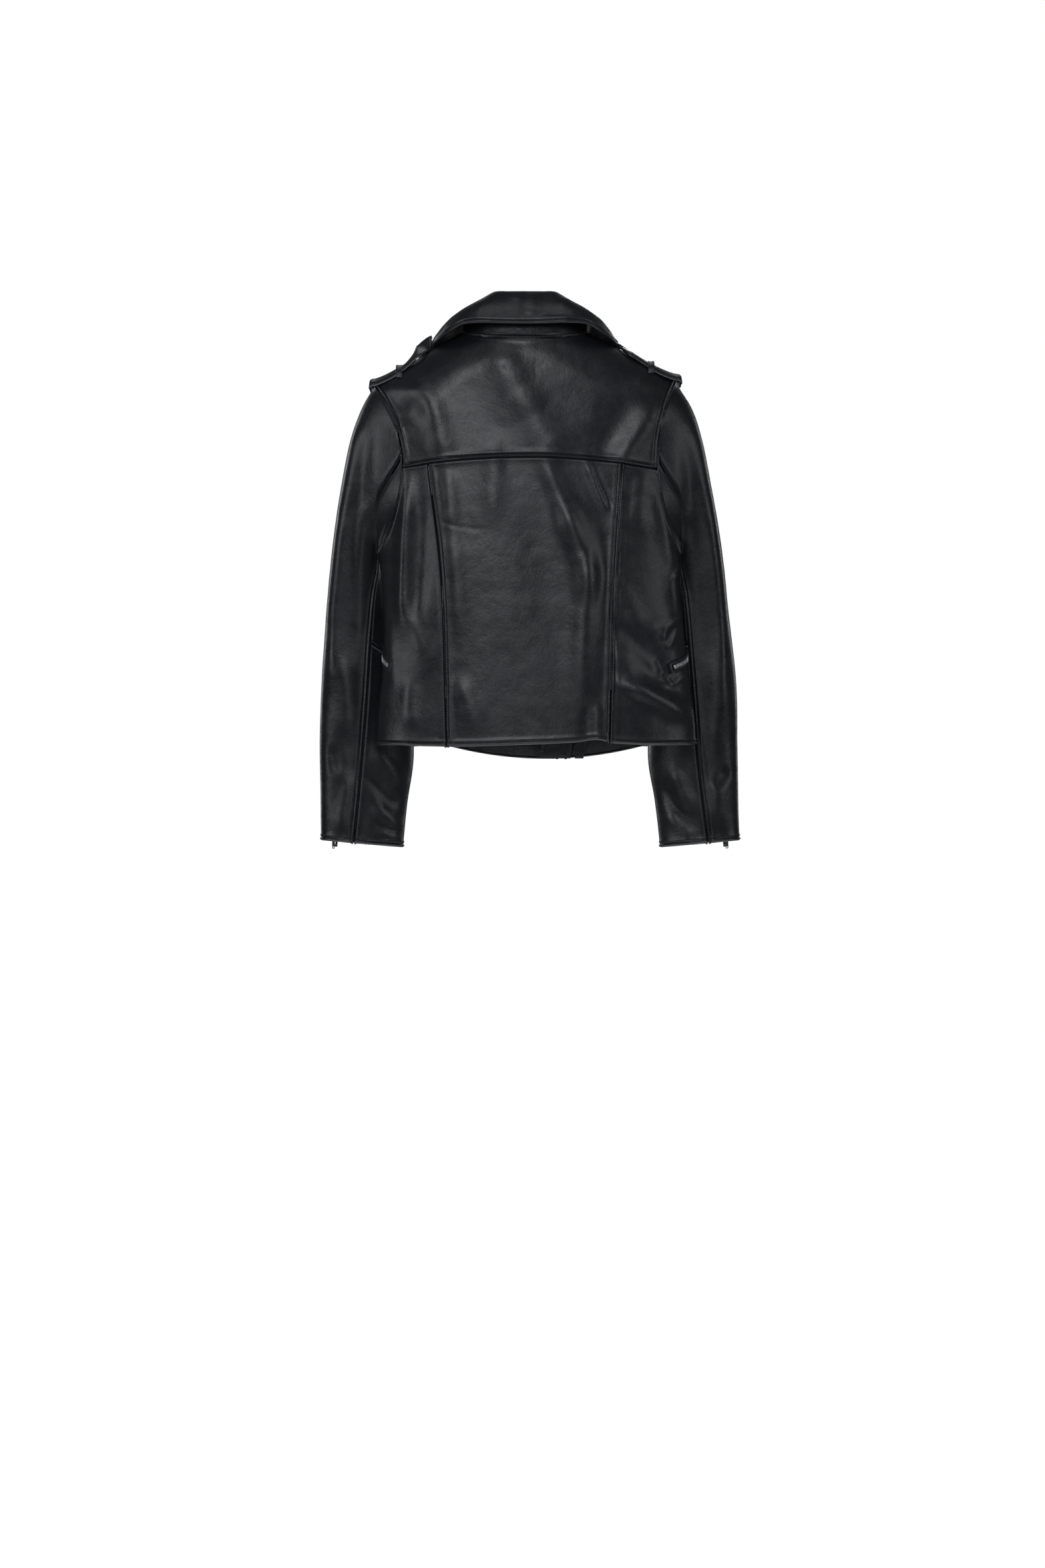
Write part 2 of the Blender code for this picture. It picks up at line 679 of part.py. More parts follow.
def build_epaulette(side, word):
    lift = EPAULETTE_LIFT + LEATHER
    tip_x = abs(SHOULDER_TIP[side][0])
    places = []
    for i in range(7):
        share = i / 6
        x = between(EPAULETTE_HINGE_X + EPAULETTE_TIP_GAP, tip_x + 1.0, share)
        places.append((x, lift + EPAULETTE_END_RISE * share**3))
    grid = strap_rows(side, places, [EPAULETTE_HALF_WIDTH] * 7)
    # The folded end: the strap turns under itself past the shoulder tip
    last = grid[-1]
    for k in range(1, 7):
        turn = math.radians(180.0 * k / 6)
        shift = Vector((side * (2.0 + 5.0 * math.sin(turn)), 0.0, -1.0 - 3.2 * (1.0 - math.cos(turn))))
        grid.append([point + shift for point in last])
    panel(f"epaulette_{word}", grid, "leather", outward=lambda p: Vector((side * 0.3, 0, 1)))
    tip_places = []
    halves = []
    for i in range(7):
        share = i / 6
        curl = EPAULETTE_TIP_CURL[side] * share**1.5
        tip_places.append((between(EPAULETTE_HINGE_X, EPAULETTE_TIP_X, share), lift + curl))
        taper = max(0.0, (share - 0.6) / 0.4)
        halves.append(EPAULETTE_HALF_WIDTH * between(1.0, 0.12, taper))
    panel(
        f"epaulette_tip_{word}",
        strap_rows(side, tip_places, halves),
        "leather",
        origin=epaulette_hinge(side),
        outward=upwards,
    )
    keeper = []
    for i in range(5):
        x = KEEPER_X + 9.0 * (i / 4 - 0.5)
        row = [over_shoulder(side * x, -EPAULETTE_HALF_WIDTH - 3.4, 2.2)]
        for k in range(7):
            row.append(over_shoulder(side * x, (EPAULETTE_HALF_WIDTH + 2.6) * (k / 3 - 1.0), lift + 3.0))
        row.append(over_shoulder(side * x, EPAULETTE_HALF_WIDTH + 3.4, 2.2))
        keeper.append(row)
    panel(f"epaulette_keeper_{word}", keeper, "leather", 1.6, outward=upwards)
    snap_place = over_shoulder(side * EPAULETTE_SNAP_X, 0.0, 0.7)
    build_snap(f"epaulette_snap_{word}", snap_place, Vector((side * 0.55, 0, 1)), 4.0, 0.9)


def epaulette_hinge(side):
    return over_shoulder(side * EPAULETTE_HINGE_X, 0.0, EPAULETTE_LIFT + LEATHER / 2)


# ---------------------------------------------------------------- snaps and zips


def build_snap(name, centre, out, radius, height):
    """A press-stud cap: a disc with a rounded rim."""
    bm = bmesh.new()
    out = out.normalized()
    side = out.orthogonal().normalized()
    other = out.cross(side)
    levels = ((0.82, 0.0), (1.0, 0.35), (0.9, 0.85), (0.5, 1.0))
    rings = []
    for share, up in levels:
        ring = []
        for k in range(12):
            angle = math.tau * k / 12
            spoke = side * math.cos(angle) + other * math.sin(angle)
            ring.append(bm.verts.new(centre + out * up * height + spoke * radius * share))
        rings.append(ring)
    for low, high in zip(rings, rings[1:]):
        for k in range(12):
            bm.faces.new((low[k], low[(k + 1) % 12], high[(k + 1) % 12], high[k]))
    bm.faces.new(rings[-1])
    bm.faces.new(list(reversed(rings[0])))
    add_object(name, bm, "metal", centre)


def sweep_bar(name, path, outs, width, thickness, surface):
    """A flat bar along a path. outs gives the direction of its outer face at each point."""
    bm = bmesh.new()
    rings = []
    for i, point in enumerate(path):
        ahead = (path[min(i + 1, len(path) - 1)] - path[max(i - 1, 0)]).normalized()
        out = (outs[i] - ahead * outs[i].dot(ahead)).normalized()
        across = ahead.cross(out)
        ring = []
        for a, b in ((-1, -1), (1, -1), (1, 1), (-1, 1)):
            ring.append(bm.verts.new(point + across * a * width / 2 + out * b * thickness / 2))
        rings.append(ring)
    for first, last in zip(rings, rings[1:]):
        for k in range(4):
            bm.faces.new((first[k], first[(k + 1) % 4], last[(k + 1) % 4], last[k]))
    bm.faces.new(rings[-1])
    bm.faces.new(list(reversed(rings[0])))
    bmesh.ops.recalc_face_normals(bm, faces=bm.faces[:])
    add_object(name, bm, surface, path[0], smooth=False)


def build_slider(name, rest, along, out):
    """The slider's wings, bridge and pull lug, standing over the chain. along points to its free end."""
    across = along.cross(out).normalized()
    lift = CHAIN_THICKNESS / 2 + SLIDER_CLEARANCE
    profile = ((-SLIDER_LENGTH / 2, 3.0), (-SLIDER_LENGTH / 4, SLIDER_WIDTH / 2), (SLIDER_LENGTH / 2, 2.6))
    bm = bmesh.new()
    outline = [(a, w) for a, w in profile] + [(a, -w) for a, w in reversed(profile)]
    base = [bm.verts.new(rest + along * a + across * w + out * lift) for a, w in outline]
    top_lift = out * (lift + SLIDER_HEIGHT)
    top = [bm.verts.new(rest + along * a * 0.92 + across * w * 0.9 + top_lift) for a, w in outline]
    count = len(outline)
    for k in range(count):
        bm.faces.new((base[k], base[(k + 1) % count], top[(k + 1) % count], top[k]))
    bm.faces.new(list(reversed(base)))
    cap = bm.faces.new(top)
    bmesh.ops.inset_individual(bm, faces=[cap], thickness=1.4)
    raised = bmesh.ops.extrude_face_region(bm, geom=[cap])["geom"]
    for item in raised:
        if isinstance(item, bmesh.types.BMVert):
            item.co += out * LUG_HEIGHT
    bmesh.ops.delete(bm, geom=[cap], context="FACES_ONLY")
    bmesh.ops.recalc_face_normals(bm, faces=bm.faces[:])
    add_object(name, bm, "metal", rest, smooth=False)


def build_puller(name, hinge, hang, out, length, width):
    """An open rectangular tab that turns on its top bar."""
    across = hang.cross(out).normalized()
    bm = bmesh.new()
    half = width / 2
    slot = half - PULLER_BAR
    foot = length - PULLER_BAR
    outer = [(0.0, -half), (0.0, half), (length, half), (length, -half)]
    inner = [(PULLER_BAR, -slot), (PULLER_BAR, slot), (foot, slot), (foot, -slot)]
    sheets = []
    for level in (0.0, PULLER_THICKNESS):
        sheets.append(
            (
                [bm.verts.new(hinge + hang * a + across * b + out * level) for a, b in outer],
                [bm.verts.new(hinge + hang * a + across * b + out * level) for a, b in inner],
            )
        )
    (low_out, low_in), (high_out, high_in) = sheets
    for k in range(4):
        n = (k + 1) % 4
        bm.faces.new((high_out[k], high_out[n], high_in[n], high_in[k]))
        bm.faces.new((low_out[n], low_out[k], low_in[k], low_in[n]))
        bm.faces.new((low_out[k], low_out[n], high_out[n], high_out[k]))
        bm.faces.new((low_in[n], low_in[k], high_in[k], high_in[n]))
    bmesh.ops.recalc_face_normals(bm, faces=bm.faces[:])
    add_object(name, bm, "metal", hinge, smooth=False)


def straight_zip(prefix, start, end, out, tail=(), tail_outs=(), slider_inset=9.0, length=22.0, width=9.0):
    """Chain from start to end, with its slider near the start and its puller lying along the chain."""
    along = (end - start).normalized()
    path = [start, end, *tail]
    sweep_bar(f"{prefix}_chain", path, [out, out, *tail_outs], CHAIN_WIDTH, CHAIN_THICKNESS, "metal")
    rest = start + along * slider_inset
    build_slider(f"{prefix}_slider", rest, along, out)
    hinge = rest + along + out * PULLER_LIFT
    build_puller(f"{prefix}_puller", hinge, along, out, length, width)


def main_zip_ends():
    ends = []
    for (x, z), margin in ((ZIP_TOP, -2.0), (ZIP_BOTTOM, 0.0)):
        point = on_body(x, z + margin, True)
        ends.append(point + Vector((0.0, -1.8, 0.0)))
    return ends


def build_main_zip():
    top, bottom = main_zip_ends()
    out = Vector((0, -1, 0))
    along = (bottom - top).normalized()
    across = along.cross(out).normalized()
    straight_zip("main_zip", top, bottom, out, slider_inset=10.0, length=34.0, width=9.0)
    for side, word in ((1, "left"), (-1, "right")):
        shift = across * (side * 9.0) * (1 if across.x > 0 else -1) - out * 7.4
        path = [top + shift, bottom + shift]
        sweep_bar(f"main_zip_tape_{word}", path, [out, out], 16.0, 0.8, "tape")
    foot = [bottom + along * 1.0, bottom + along * 8.0]
    sweep_bar("main_zip_box", foot, [out, out], 7.0, 3.0, "metal")


HAND_POCKET_FRONT = {1: (112.0, -372.0), -1: (-122.0, -372.0)}
HAND_POCKET_BEND = {1: (166.0, -410.0), -1: (-180.0, -411.0)}
HAND_POCKET_END = {1: (186.0, -447.0), -1: (-203.0, -450.0)}


def build_hand_pocket(side, word):
    """A slanted zip across the front that carries on round the side of the body."""
    clearance = CHAIN_THICKNESS / 2 + 2.2
    start = on_body(*HAND_POCKET_FRONT[side], True) + Vector((0, -clearance, 0))
    bend_x, bend_z = HAND_POCKET_BEND[side]
    bend_base = on_body(bend_x, bend_z, True)
    lean = Vector((side * 0.42, -1, 0)).normalized()
    end = bend_base + lean * clearance
    out = Vector((side * 0.24, -1, 0)).normalized()
    tail = []
    tail_outs = []
    end_x, end_z = HAND_POCKET_END[side]
    first_turn = turn_at(side, bend_x, bend_z, True)
    last_turn = turn_at(side, end_x, end_z, False)
    for k in range(1, 9):
        share = k / 8
        turn = between(first_turn, last_turn, share)
        z = between(bend_z, end_z, share**0.8)
        point = body_point(side, turn, z)
        nearby = body_point(side, turn + 0.02, z)
        tangent = nearby - point
        facing = Vector((tangent.y, -tangent.x, 0)).normalized() * side
        if facing.dot(point - Vector((side * 120.0, RIDGE_Y, z))) < 0:
            facing = -facing
        tail.append(point + facing * (CHAIN_THICKNESS / 2 + 1.0))
        tail_outs.append(facing)
    straight_zip(f"hand_pocket_zip_{word}", start, end, out, tail, tail_outs, length=20.0, width=8.0)
    bag = []
    for j in range(7):
        row = []
        for i in range(6):
            x = side * between(112.0, 160.0, i / 5)
            z = between(-378.0 - 26.0 * i / 5, -520.0, j / 6)
            row.append(on_body(x, z, True, POCKET_INSET))
        bag.append(row)
    panel(f"hand_pocket_bag_{word}", bag, "lining", LINING, outward=away_from_middle)


CHEST_ZIP = ((48.0, -262.0), (134.0, -246.0))


def build_chest_pocket():
    clearance = CHAIN_THICKNESS / 2 + 2.2
    start, end = (on_body(x, z, True) + Vector((0, -clearance, 0)) for x, z in CHEST_ZIP)
    out = Vector((0.12, -1, 0)).normalized()
    straight_zip("chest_pocket_zip", start, end, out, length=20.0, width=8.0)
    bag = []
    for j in range(5):
        row = []
        for i in range(6):
            z = between(-266.0 + 14.0 * i / 5, -352.0, j / 4)
            row.append(on_body(between(52.0, 130.0, i / 5), z, True, POCKET_INSET))
        bag.append(row)
    panel("chest_pocket_bag", bag, "lining", LINING, outward=away_from_middle)


CUFF_ZIP_TURN = -50.0


def build_cuff_zip(side, word):
    """The zip up the front of the sleeve from the cuff, closed with its slider at the bottom."""
    low = sleeve_point(side, LAST_RING - 0.02, CUFF_ZIP_TURN)
    high = sleeve_point(side, LAST_RING - 1.3, CUFF_ZIP_TURN)
    along = (high - low).normalized()
    middle = sleeve_middle(side, LAST_RING - 0.5)
    out = low - middle
    out = (out - along * out.dot(along)).normalized()
    lift = out * (CHAIN_THICKNESS / 2 + 2.4)
    start = low + lift
    end = high + lift
    sweep_bar(f"cuff_zip_{word}_chain", [start, end], [out, out], CHAIN_WIDTH, CHAIN_THICKNESS, "metal")
    rest = start + along * 8.0
    build_slider(f"cuff_zip_{word}_slider", rest, along, out)
    hinge = rest + out * PULLER_LIFT
    build_puller(f"cuff_zip_{word}_puller", hinge, -along, out, 20.0, 9.0)


# ---------------------------------------------------------------- inside


def build_back_lining():
    columns, rows = 16, 11
    grid = []
    hem = HEM_BACK_Z + 14.0
    for j in range(rows + 1):
        down = (j / rows) ** 1.2
        row = []
        for i in range(columns + 1):
            across = math.sin((2.0 * i / columns - 1.0) * math.pi / 2)
            side = 1 if across >= 0 else -1
            tip_z = SHOULDER_TIP[side][1]
            end_z = between(tip_z - 4.0, hem, down)
            if end_z > UNDERARM[side][1]:
                edge_x = abs(armhole(side, armhole_turn_at(side, end_z), False)[0]) - 2.0
            else:
                edge_x = half_width(side, end_z) - LINING_INSET - 3.0
            x = across * edge_x
            top_x = across * (abs(SHOULDER_TIP[side][0]) - 4.0)
            top = neck_z(top_x) - 7.0 if abs(top_x) < NECK_HALF_WIDTH else ridge_z(top_x) - LINING_INSET - 1.0
            z = between(top, hem, down)
            if end_z > UNDERARM[side][1]:
                z = between(z, end_z, abs(across) ** 8)
            row.append(on_body(x, min(z, ridge_z(x) - LINING_INSET - 4.0), False, LINING_INSET))
        grid.append(row)
    panel("back_lining", grid, "lining", LINING, outward=away_from_middle)


def build_front_lining(side, word):
    columns, rows = 7, 15
    grid = []
    for j in range(rows + 1):
        up = between(0.05, 0.97, j / rows)
        inner_x, inner_z = front_inner_edge(side, up)
        outer_x, outer_z = front_outer_edge(side, up)
        if up <= ZIP_SHARE:
            outer_x = side * (half_width(side, outer_z) - LINING_INSET - 3.0)
            drop = min(1.0, max(0.0, (outer_z - UNDERARM[side][1]) / 50.0))
            outer_x = between(outer_x, armhole(side, FRONT_SEAM_TOP_TURN, True)[0], drop)
        row = []
        for i in range(columns + 1):
            share = math.sin(i / columns * math.pi / 2)
            x = between(inner_x + side * 26.0, outer_x - side * 2.0, share)
            z = between(inner_z, outer_z, share)
            row.append(on_body(x, min(z, ridge_z(x) - LINING_INSET - 0.5), True, LINING_INSET))
        grid.append(row)
    panel(f"front_lining_{word}", grid, "lining", LINING, outward=away_from_middle)


def build_facing(side, word):
    """The leather strip inside each front edge, behind the zip tape."""
    grid = []
    for j in range(15):
        up = between(0.01, 0.9, j / 14)
        x, z = front_inner_edge(side, up)
        row = []
        for i in range(4):
            here = x + side * between(1.0, 24.0, i / 3)
            row.append(on_body(here, z, True, LINING_INSET + 3.2))
        grid.append(row)
    panel(f"front_facing_{word}", grid, "leather", 1.2, outward=away_from_middle)


def build_hanging_loop():
    """The locker loop: a narrow strap that bows into the neck from the back lining."""
    path = []
    for k in range(11):
        share = k / 10
        x = between(-32.0, 32.0, share)
        base = on_body(x, -12.0, False, LINING_INSET + LINING + 2.6)
        path.append(base + Vector((0.0, -9.0 * math.sin(math.pi * share), -6.0 * math.sin(math.pi * share))))
    outs = [Vector((0, -1, 0))] * len(path)
    sweep_bar("hanging_loop", path, outs, 6.0, 1.2, "leather")


def build_neck_label():
    inset = LINING_INSET + LINING + 2.4
    grid = []
    for j in range(3):
        z = between(-30.0, -52.0, j / 2)
        grid.append([on_body(between(-24.0, 24.0, i / 4), z, False, inset) for i in range(5)])
    panel("neck_label", grid, "label", 0.6, outward=away_from_middle)


def build_front_snaps():
    for side, word in ((1, "left"), (-1, "right")):
        corner = LAPEL_OUTLINE[side][3]
        inward = Vector(LAPEL_OUTLINE[side][0]).lerp(Vector(LAPEL_OUTLINE[side][-1]), 0.6)
        place = Vector(corner).lerp(inward, 0.16)
        point = on_body(place.x, place.y, True) + Vector((0, -LAPEL_CLEARANCE - LEATHER - 3.4, 0))
        build_snap(f"lapel_snap_{word}", point, Vector((0, -1, 0)), 5.0, 2.0)


def build_jacket():
    clear_scene()
    material("leather", (0.016, 0.017, 0.021), 0.38)
    material("lining", (0.020, 0.020, 0.024), 0.55)
    material("tape", (0.012, 0.012, 0.013), 0.85)
    material("metal", (0.78, 0.78, 0.80), 0.22, 1.0)
    material("label", (0.05, 0.05, 0.055), 0.7)
    build_back_yoke()
    build_back_centre_panel()
    build_main_zip()
    build_chest_pocket()
    build_collar()
    build_back_lining()
    build_hanging_loop()
    build_neck_label()
    build_front_snaps()
    for side, word in ((1, "left"), (-1, "right")):
        build_side_panel(side, f"side_panel_{word}")
        build_front_panel(side, f"front_panel_{word}")
        build_facing(side, word)
        build_front_lining(side, word)
        build_sleeve(side, word)
        build_lapel(side, word)
        build_epaulette(side, word)
        build_hand_pocket(side, word)
        build_cuff_zip(side, word)


build_jacket()
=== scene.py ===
"""The looks of the leather riding jacket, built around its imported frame.

+X is the wearer's left, +Y the back, +Z up, and the origin is the middle of the back neck. Shapes are
worked out in millimetres, in numpy grids of points, and turned into metres when a mesh is made.
"""

import json
import math

import bmesh
import bpy
import numpy as np
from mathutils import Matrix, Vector, noise


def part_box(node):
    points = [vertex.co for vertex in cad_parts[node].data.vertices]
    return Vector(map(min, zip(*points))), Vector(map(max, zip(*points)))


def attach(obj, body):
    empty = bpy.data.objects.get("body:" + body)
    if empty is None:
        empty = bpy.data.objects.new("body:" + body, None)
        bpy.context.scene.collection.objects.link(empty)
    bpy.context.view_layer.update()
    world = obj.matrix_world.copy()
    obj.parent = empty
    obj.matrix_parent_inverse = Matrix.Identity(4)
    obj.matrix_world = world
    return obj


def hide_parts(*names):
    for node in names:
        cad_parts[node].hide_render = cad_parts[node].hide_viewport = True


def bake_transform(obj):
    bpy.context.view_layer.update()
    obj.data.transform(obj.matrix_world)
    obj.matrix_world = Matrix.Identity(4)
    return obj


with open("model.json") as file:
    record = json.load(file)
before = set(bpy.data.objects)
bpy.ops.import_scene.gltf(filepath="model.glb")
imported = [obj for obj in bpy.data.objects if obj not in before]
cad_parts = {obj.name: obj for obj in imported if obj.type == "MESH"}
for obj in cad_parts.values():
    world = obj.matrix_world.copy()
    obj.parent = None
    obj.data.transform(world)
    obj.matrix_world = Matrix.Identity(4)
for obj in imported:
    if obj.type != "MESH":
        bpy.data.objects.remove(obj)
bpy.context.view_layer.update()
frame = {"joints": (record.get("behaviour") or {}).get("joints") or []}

MM = 0.001
SIDES = ((1, "left"), (-1, "right"))

# The jacket's cut, as in the CAD
SHOULDER_TIP = {1: (203.0, -67.0), -1: (-204.0, -60.0)}
UNDERARM = {1: (200.0, -292.0), -1: (-210.0, -292.0)}
NECK_HALF_WIDTH = 88.0
NECK_SIDE_Z = 3.0
NECK_BACK_Z = -5.0
NECK_ROUNDING = 25.0
SLOPE_BLEND = 120.0
BACK_DEPTH = 56.0
FRONT_DEPTH = 54.0
RIDGE_Y = -6.0
SHOULDER_ROUND = 75.0
SIDE_SQUARENESS = 2.4
HEM_FRONT_Z = -574.0
BODY_HALF_WIDTH = {
    1: (
        (-600, 203), (-555, 202), (-513, 200), (-446, 193), (-356, 194),
        (-292, 201), (-185, 214), (-60, 234), (60, 250),
    ),
    -1: (
        (-600, 235), (-555, 233), (-513, 230), (-432, 219), (-333, 211),
        (-292, 211), (-185, 218), (-60, 236), (60, 250),
    ),
}
ARMHOLE_BOW = {1: (36.0, 44.0), -1: (28.0, 40.0)}
PRINCESS_SEAM = {
    1: ((-600, 105), (-554, 106), (-333, 113), (-182, 131)),
    -1: ((-600, -114), (-554, -114), (-333, -121), (-182, -130)),
}
# The back hem's height across the back: it ripples up beside the right seam
BACK_HEM = (
    (-235, -555), (-165, -556), (-118, -553), (-96, -549.5),
    (-66, -553), (0, -556), (106, -558.5), (205, -555),
)
BACK_HEM_Z = -555.0
FRONT_SEAM_TOP_TURN = 115.0
FRONT_SEAM_HEM_X = {1: 150.0, -1: -165.0}
SIDE_MIDDLE_X = 120.0
# Shares of the side panel's top that end at the yoke seam and at the underarm
SIDE_YOKE_SHARE = 2 / 13
SIDE_UNDERARM_SHARE = 8 / 13
YOKE_SEAM_CENTRE_Z = -169.0
YOKE_SEAM_END_Z = -182.0
ZIP_TOP = (-103.0, -190.0)
ZIP_BOTTOM = (-50.0, -564.0)
ZIP_SLOT = 8.0
LAPEL_NECK = {1: (76.0, -40.0), -1: (-78.0, -38.0)}
ZIP_SHARE = 0.6
ROLL_SHARE = 0.9
SLEEVE_RINGS = (
    ((203, -6, -67), (200, -6, -292), 42.0),
    ((221, -10, -98), (198, -38, -309), 44.0),
    ((236, -16, -146), (190, -57, -328), 45.0),
    ((249, -24, -211), (182, -69, -356), 44.0),
    ((260, -33, -285), (173, -78, -393), 42.0),
    ((269, -43, -373), (163, -83, -448), 38.0),
    ((276, -52, -470), (154, -85, -515), 34.0),
    ((279, -58, -550), (152, -84, -575), 31.0),
    ((278, -61, -620), (160, -81, -632), 27.0),
    ((277, -62, -686), (166, -76, -696), 22.0),
)
RIGHT_ARM_SHIFT = ((1, 4, 2, 2, 4, 5, 9, 8, 10, 13), (10, 13, 13, 13, 14, 15, 15, 15, 16, 17))
SLEEVE_BOW = (36.0, 11.0, 2.0, 0.0, 0.0, 0.0, 0.0, 0.0, 0.0, 0.0)
SLEEVE_BACK_SEAM = (81.0, 99.0, 124.0, 120.0, 107.0, 97.6, 91.0, 86.4, 83.7, 79.0)
SLEEVE_FRONT_SEAM = 96.0
SLEEVE_EASE = {1: 0.012, -1: 0.017}
ELBOW_SEAM_RING = 5.0
LAST_RING = len(SLEEVE_RINGS) - 1
ARM_MIDDLE_X = ((-690, 221), (-570, 215), (-450, 214), (-350, 218), (-250, 230), (-150, 212), (-60, 205))
ARM_MIDDLE_Y = ((-690, -69), (-570, -71), (-450, -64), (-350, -52), (-250, -32), (-150, -14), (-60, -6))
RIGHT_ARM_MIDDLE_SHIFT = ((-690, 15), (-450, 12), (-250, 6), (-60, 2))
COLLAR_FOLD = (
    (0, 35, 56), (22, 34.5, 56), (42, 32, 55.5), (58, 24, 45),
    (72, 8, 33), (82, -14, 19), (87, -38, 0), (82, -62, -32),
)
COLLAR_EDGE = (
    (0, 57.5, 9.5), (30, 57, 10), (60, 55, 11), (85, 48.5, 9),
    (104, 34, -1), (120, 8, -10.5), (127, -20, -17.5), (124, -66, -56),
)
STAND_FOOT = (
    (0, 47, -3.5), (26, 45.5, -3), (48, 41, -1), (66, 31, 1),
    (80, 14, 4), (83, -8, 5), (80, -28, -4), (74, -42, -34),
)
STAND_TOP = (
    (0, 31, 53), (22, 30.5, 53), (40, 28, 52), (55, 19, 41),
    (68, 4, 29), (77, -15, 15), (81, -36, -3), (77, -56, -33),
)
LAPEL_OUTLINE = {
    1: ((76, -40), (96, -78), (92, -112), (22, -222), (-103, -190)),
    -1: ((-78, -38), (-106, -62), (-124, -92), (-160, -150), (-107, -190)),
}
LAPEL_CLEARANCE = 2.4
CAD_LEATHER = 2.4
EPAULETTE_HALF_WIDTH = 20.5
EPAULETTE_HINGE_X = 164.0
KEEPER_X = 171.0
EPAULETTE_STIFF_X = 180.0
EPAULETTE_END_RISE = 4.0
EPAULETTE_TIP_X = 127.0
EPAULETTE_LIFT = 2.4
EPAULETTE_TIP_ROLL = {1: 1.0, -1: 0.22}
CUFF_ZIP_TURN = -50.0
CUFF_ZIP_LIFT = {1: 3.2, -1: 2.3}
ZIP_CLEARANCE = 3.0
CHEST_ZIP = ((48.0, -262.0), (134.0, -246.0))
HAND_POCKET_FRONT = {1: (112.0, -372.0), -1: (-122.0, -372.0)}
HAND_POCKET_BEND = {1: (166.0, -410.0), -1: (-180.0, -411.0)}
HAND_POCKET_END = {1: (186.0, -447.0), -1: (-203.0, -450.0)}

# How the jacket is sewn
LEATHER = 1.3
LINING = 0.6
LINING_INSET = 6.0
SLEEVE_LINING_INSET = 7.0
GRID_STEP = 2.8
STITCH_PITCH = 3.7
STITCH_LENGTH = 3.1
STITCH_RADIUS = 0.5
STITCH_INSET = 4.8
EDGE_STITCH_INSET = 5.0
SLEEVE_GRID_STEP = 4.6
ROLL_BULGE = 2.6
EPAULETTE_THICKNESS = 3.4
WELT_HEIGHT = 2.6
TOOTH_PITCH = 1.35
PULL_RISE = 0.7
# A press stud's cap from its rim to its middle: shares of its radius and of its height
STUD_PROFILE = (
    (0.80, 0), (0.98, 0.15), (1, 0.4), (0.96, 0.66), (0.88, 0.78),
    (0.80, 0.66), (0.72, 0.66), (0.5, 0.88), (0.25, 1), (0.06, 1.02),
)
# Distances from a seam at which a panel has grid lines, and its height above the plain surface there
SEAM_LINES = (0.0, 0.5, 1.1, 1.8, 2.6, 3.4, 4.1, 4.8, 5.5, 6.4, 7.8, 9.6, 12.0)
EDGE_SHAPES = {
    "stitched": (
        (0, -2.0), (0.5, -0.6), (1.1, 0.9), (1.8, 1.7), (2.6, 1.8), (3.4, 1.2),
        (4.1, 0.4), (4.8, -0.1), (5.5, 0.35), (6.4, 0.75), (7.8, 0.7), (9.6, 0.3), (12, 0),
    ),
    "plain": ((0, -2.0), (0.5, -1.3), (1.1, -0.4), (1.8, 0.3), (2.6, 0.6), (4.1, 0.5), (6.4, 0.2), (9.6, 0)),
    "hem": (
        (0, -0.3), (0.5, 0.4), (1.1, 1.1), (1.8, 1.6), (2.6, 1.6), (3.4, 1.1),
        (4.1, 0.4), (4.8, 0.0), (5.5, 0.4), (6.4, 0.8), (7.8, 0.7), (9.6, 0.2), (12, 0),
    ),
    "edge": (
        (0, -1.0), (0.5, -0.3), (1.1, 0.2), (2.6, 0.5), (3.4, 0.3),
        (4.8, -0.2), (5.5, 0.1), (7.8, 0.2), (12, 0),
    ),
    "flat": ((0, -1.6), (1.1, -0.5), (4.8, -0.4), (12, 0)),
    "none": ((0, 0), (12, 0)),
}

# Broad folds on the back: (x, z) of both ends, half width and height
BACK_FOLDS = (
    ((196, -74), (130, -78), 11, 2.4),
    ((132, -82), (106, -172), 15, 3.0),
    ((222, -118), (142, -106), 12, -2.6),
    ((38, -30), (-4, -100), 20, 2.6),
    ((2, -90), (-44, -164), 22, 2.8),
    ((80, -60), (40, -150), 22, -1.2),
    ((-122, -178), (-182, -98), 15, 3.2),
    ((-96, -166), (-150, -80), 20, -1.8),
    ((106, -186), (100, -262), 11, 1.7),
    ((44, -150), (42, -250), 12, 1.3),
    ((-26, -172), (-66, -276), 13, 3.2),
    ((-58, -236), (-88, -350), 15, 3.6),
    ((-86, -306), (-74, -490), 14, 3.0),
    ((-100, -230), (-112, -420), 12, -1.4),
    ((-10, -260), (-36, -420), 26, -1.2),
    ((-82, -176), (-108, -238), 5, 1.6),
    ((-92, -182), (-116, -236), 4, -1.2),
    ((98, -260), (92, -400), 13, 1.8),
    ((86, -470), (66, -536), 13, 1.6),
    ((159, -206), (167, -396), 10, 4.6),
    ((138, -240), (142, -380), 11, -2.0),
    ((158, -380), (138, -436), 9, 1.0),
    ((158, -470), (156, -530), 12, 1.8),
    ((186, -330), (180, -470), 8, 1.6),
    ((-160, -190), (-150, -262), 13, 2.2),
    ((-176, -214), (-206, -330), 9, 1.8),
    ((-126, -336), (-158, -408), 12, 1.2),
    ((-166, -400), (-204, -382), 9, 1.0),
    ((-122, -430), (-166, -492), 14, 1.6),
    ((-130, -396), (-206, -462), 13, -2.4),
    ((-126, -472), (-224, -516), 11, 4.2),
    ((-146, -448), (-216, -484), 10, -1.8),
    ((-98, -504), (-97, -556), 7, 1.0),
    ((-82, -508), (-85, -556), 9, -1.0),
)
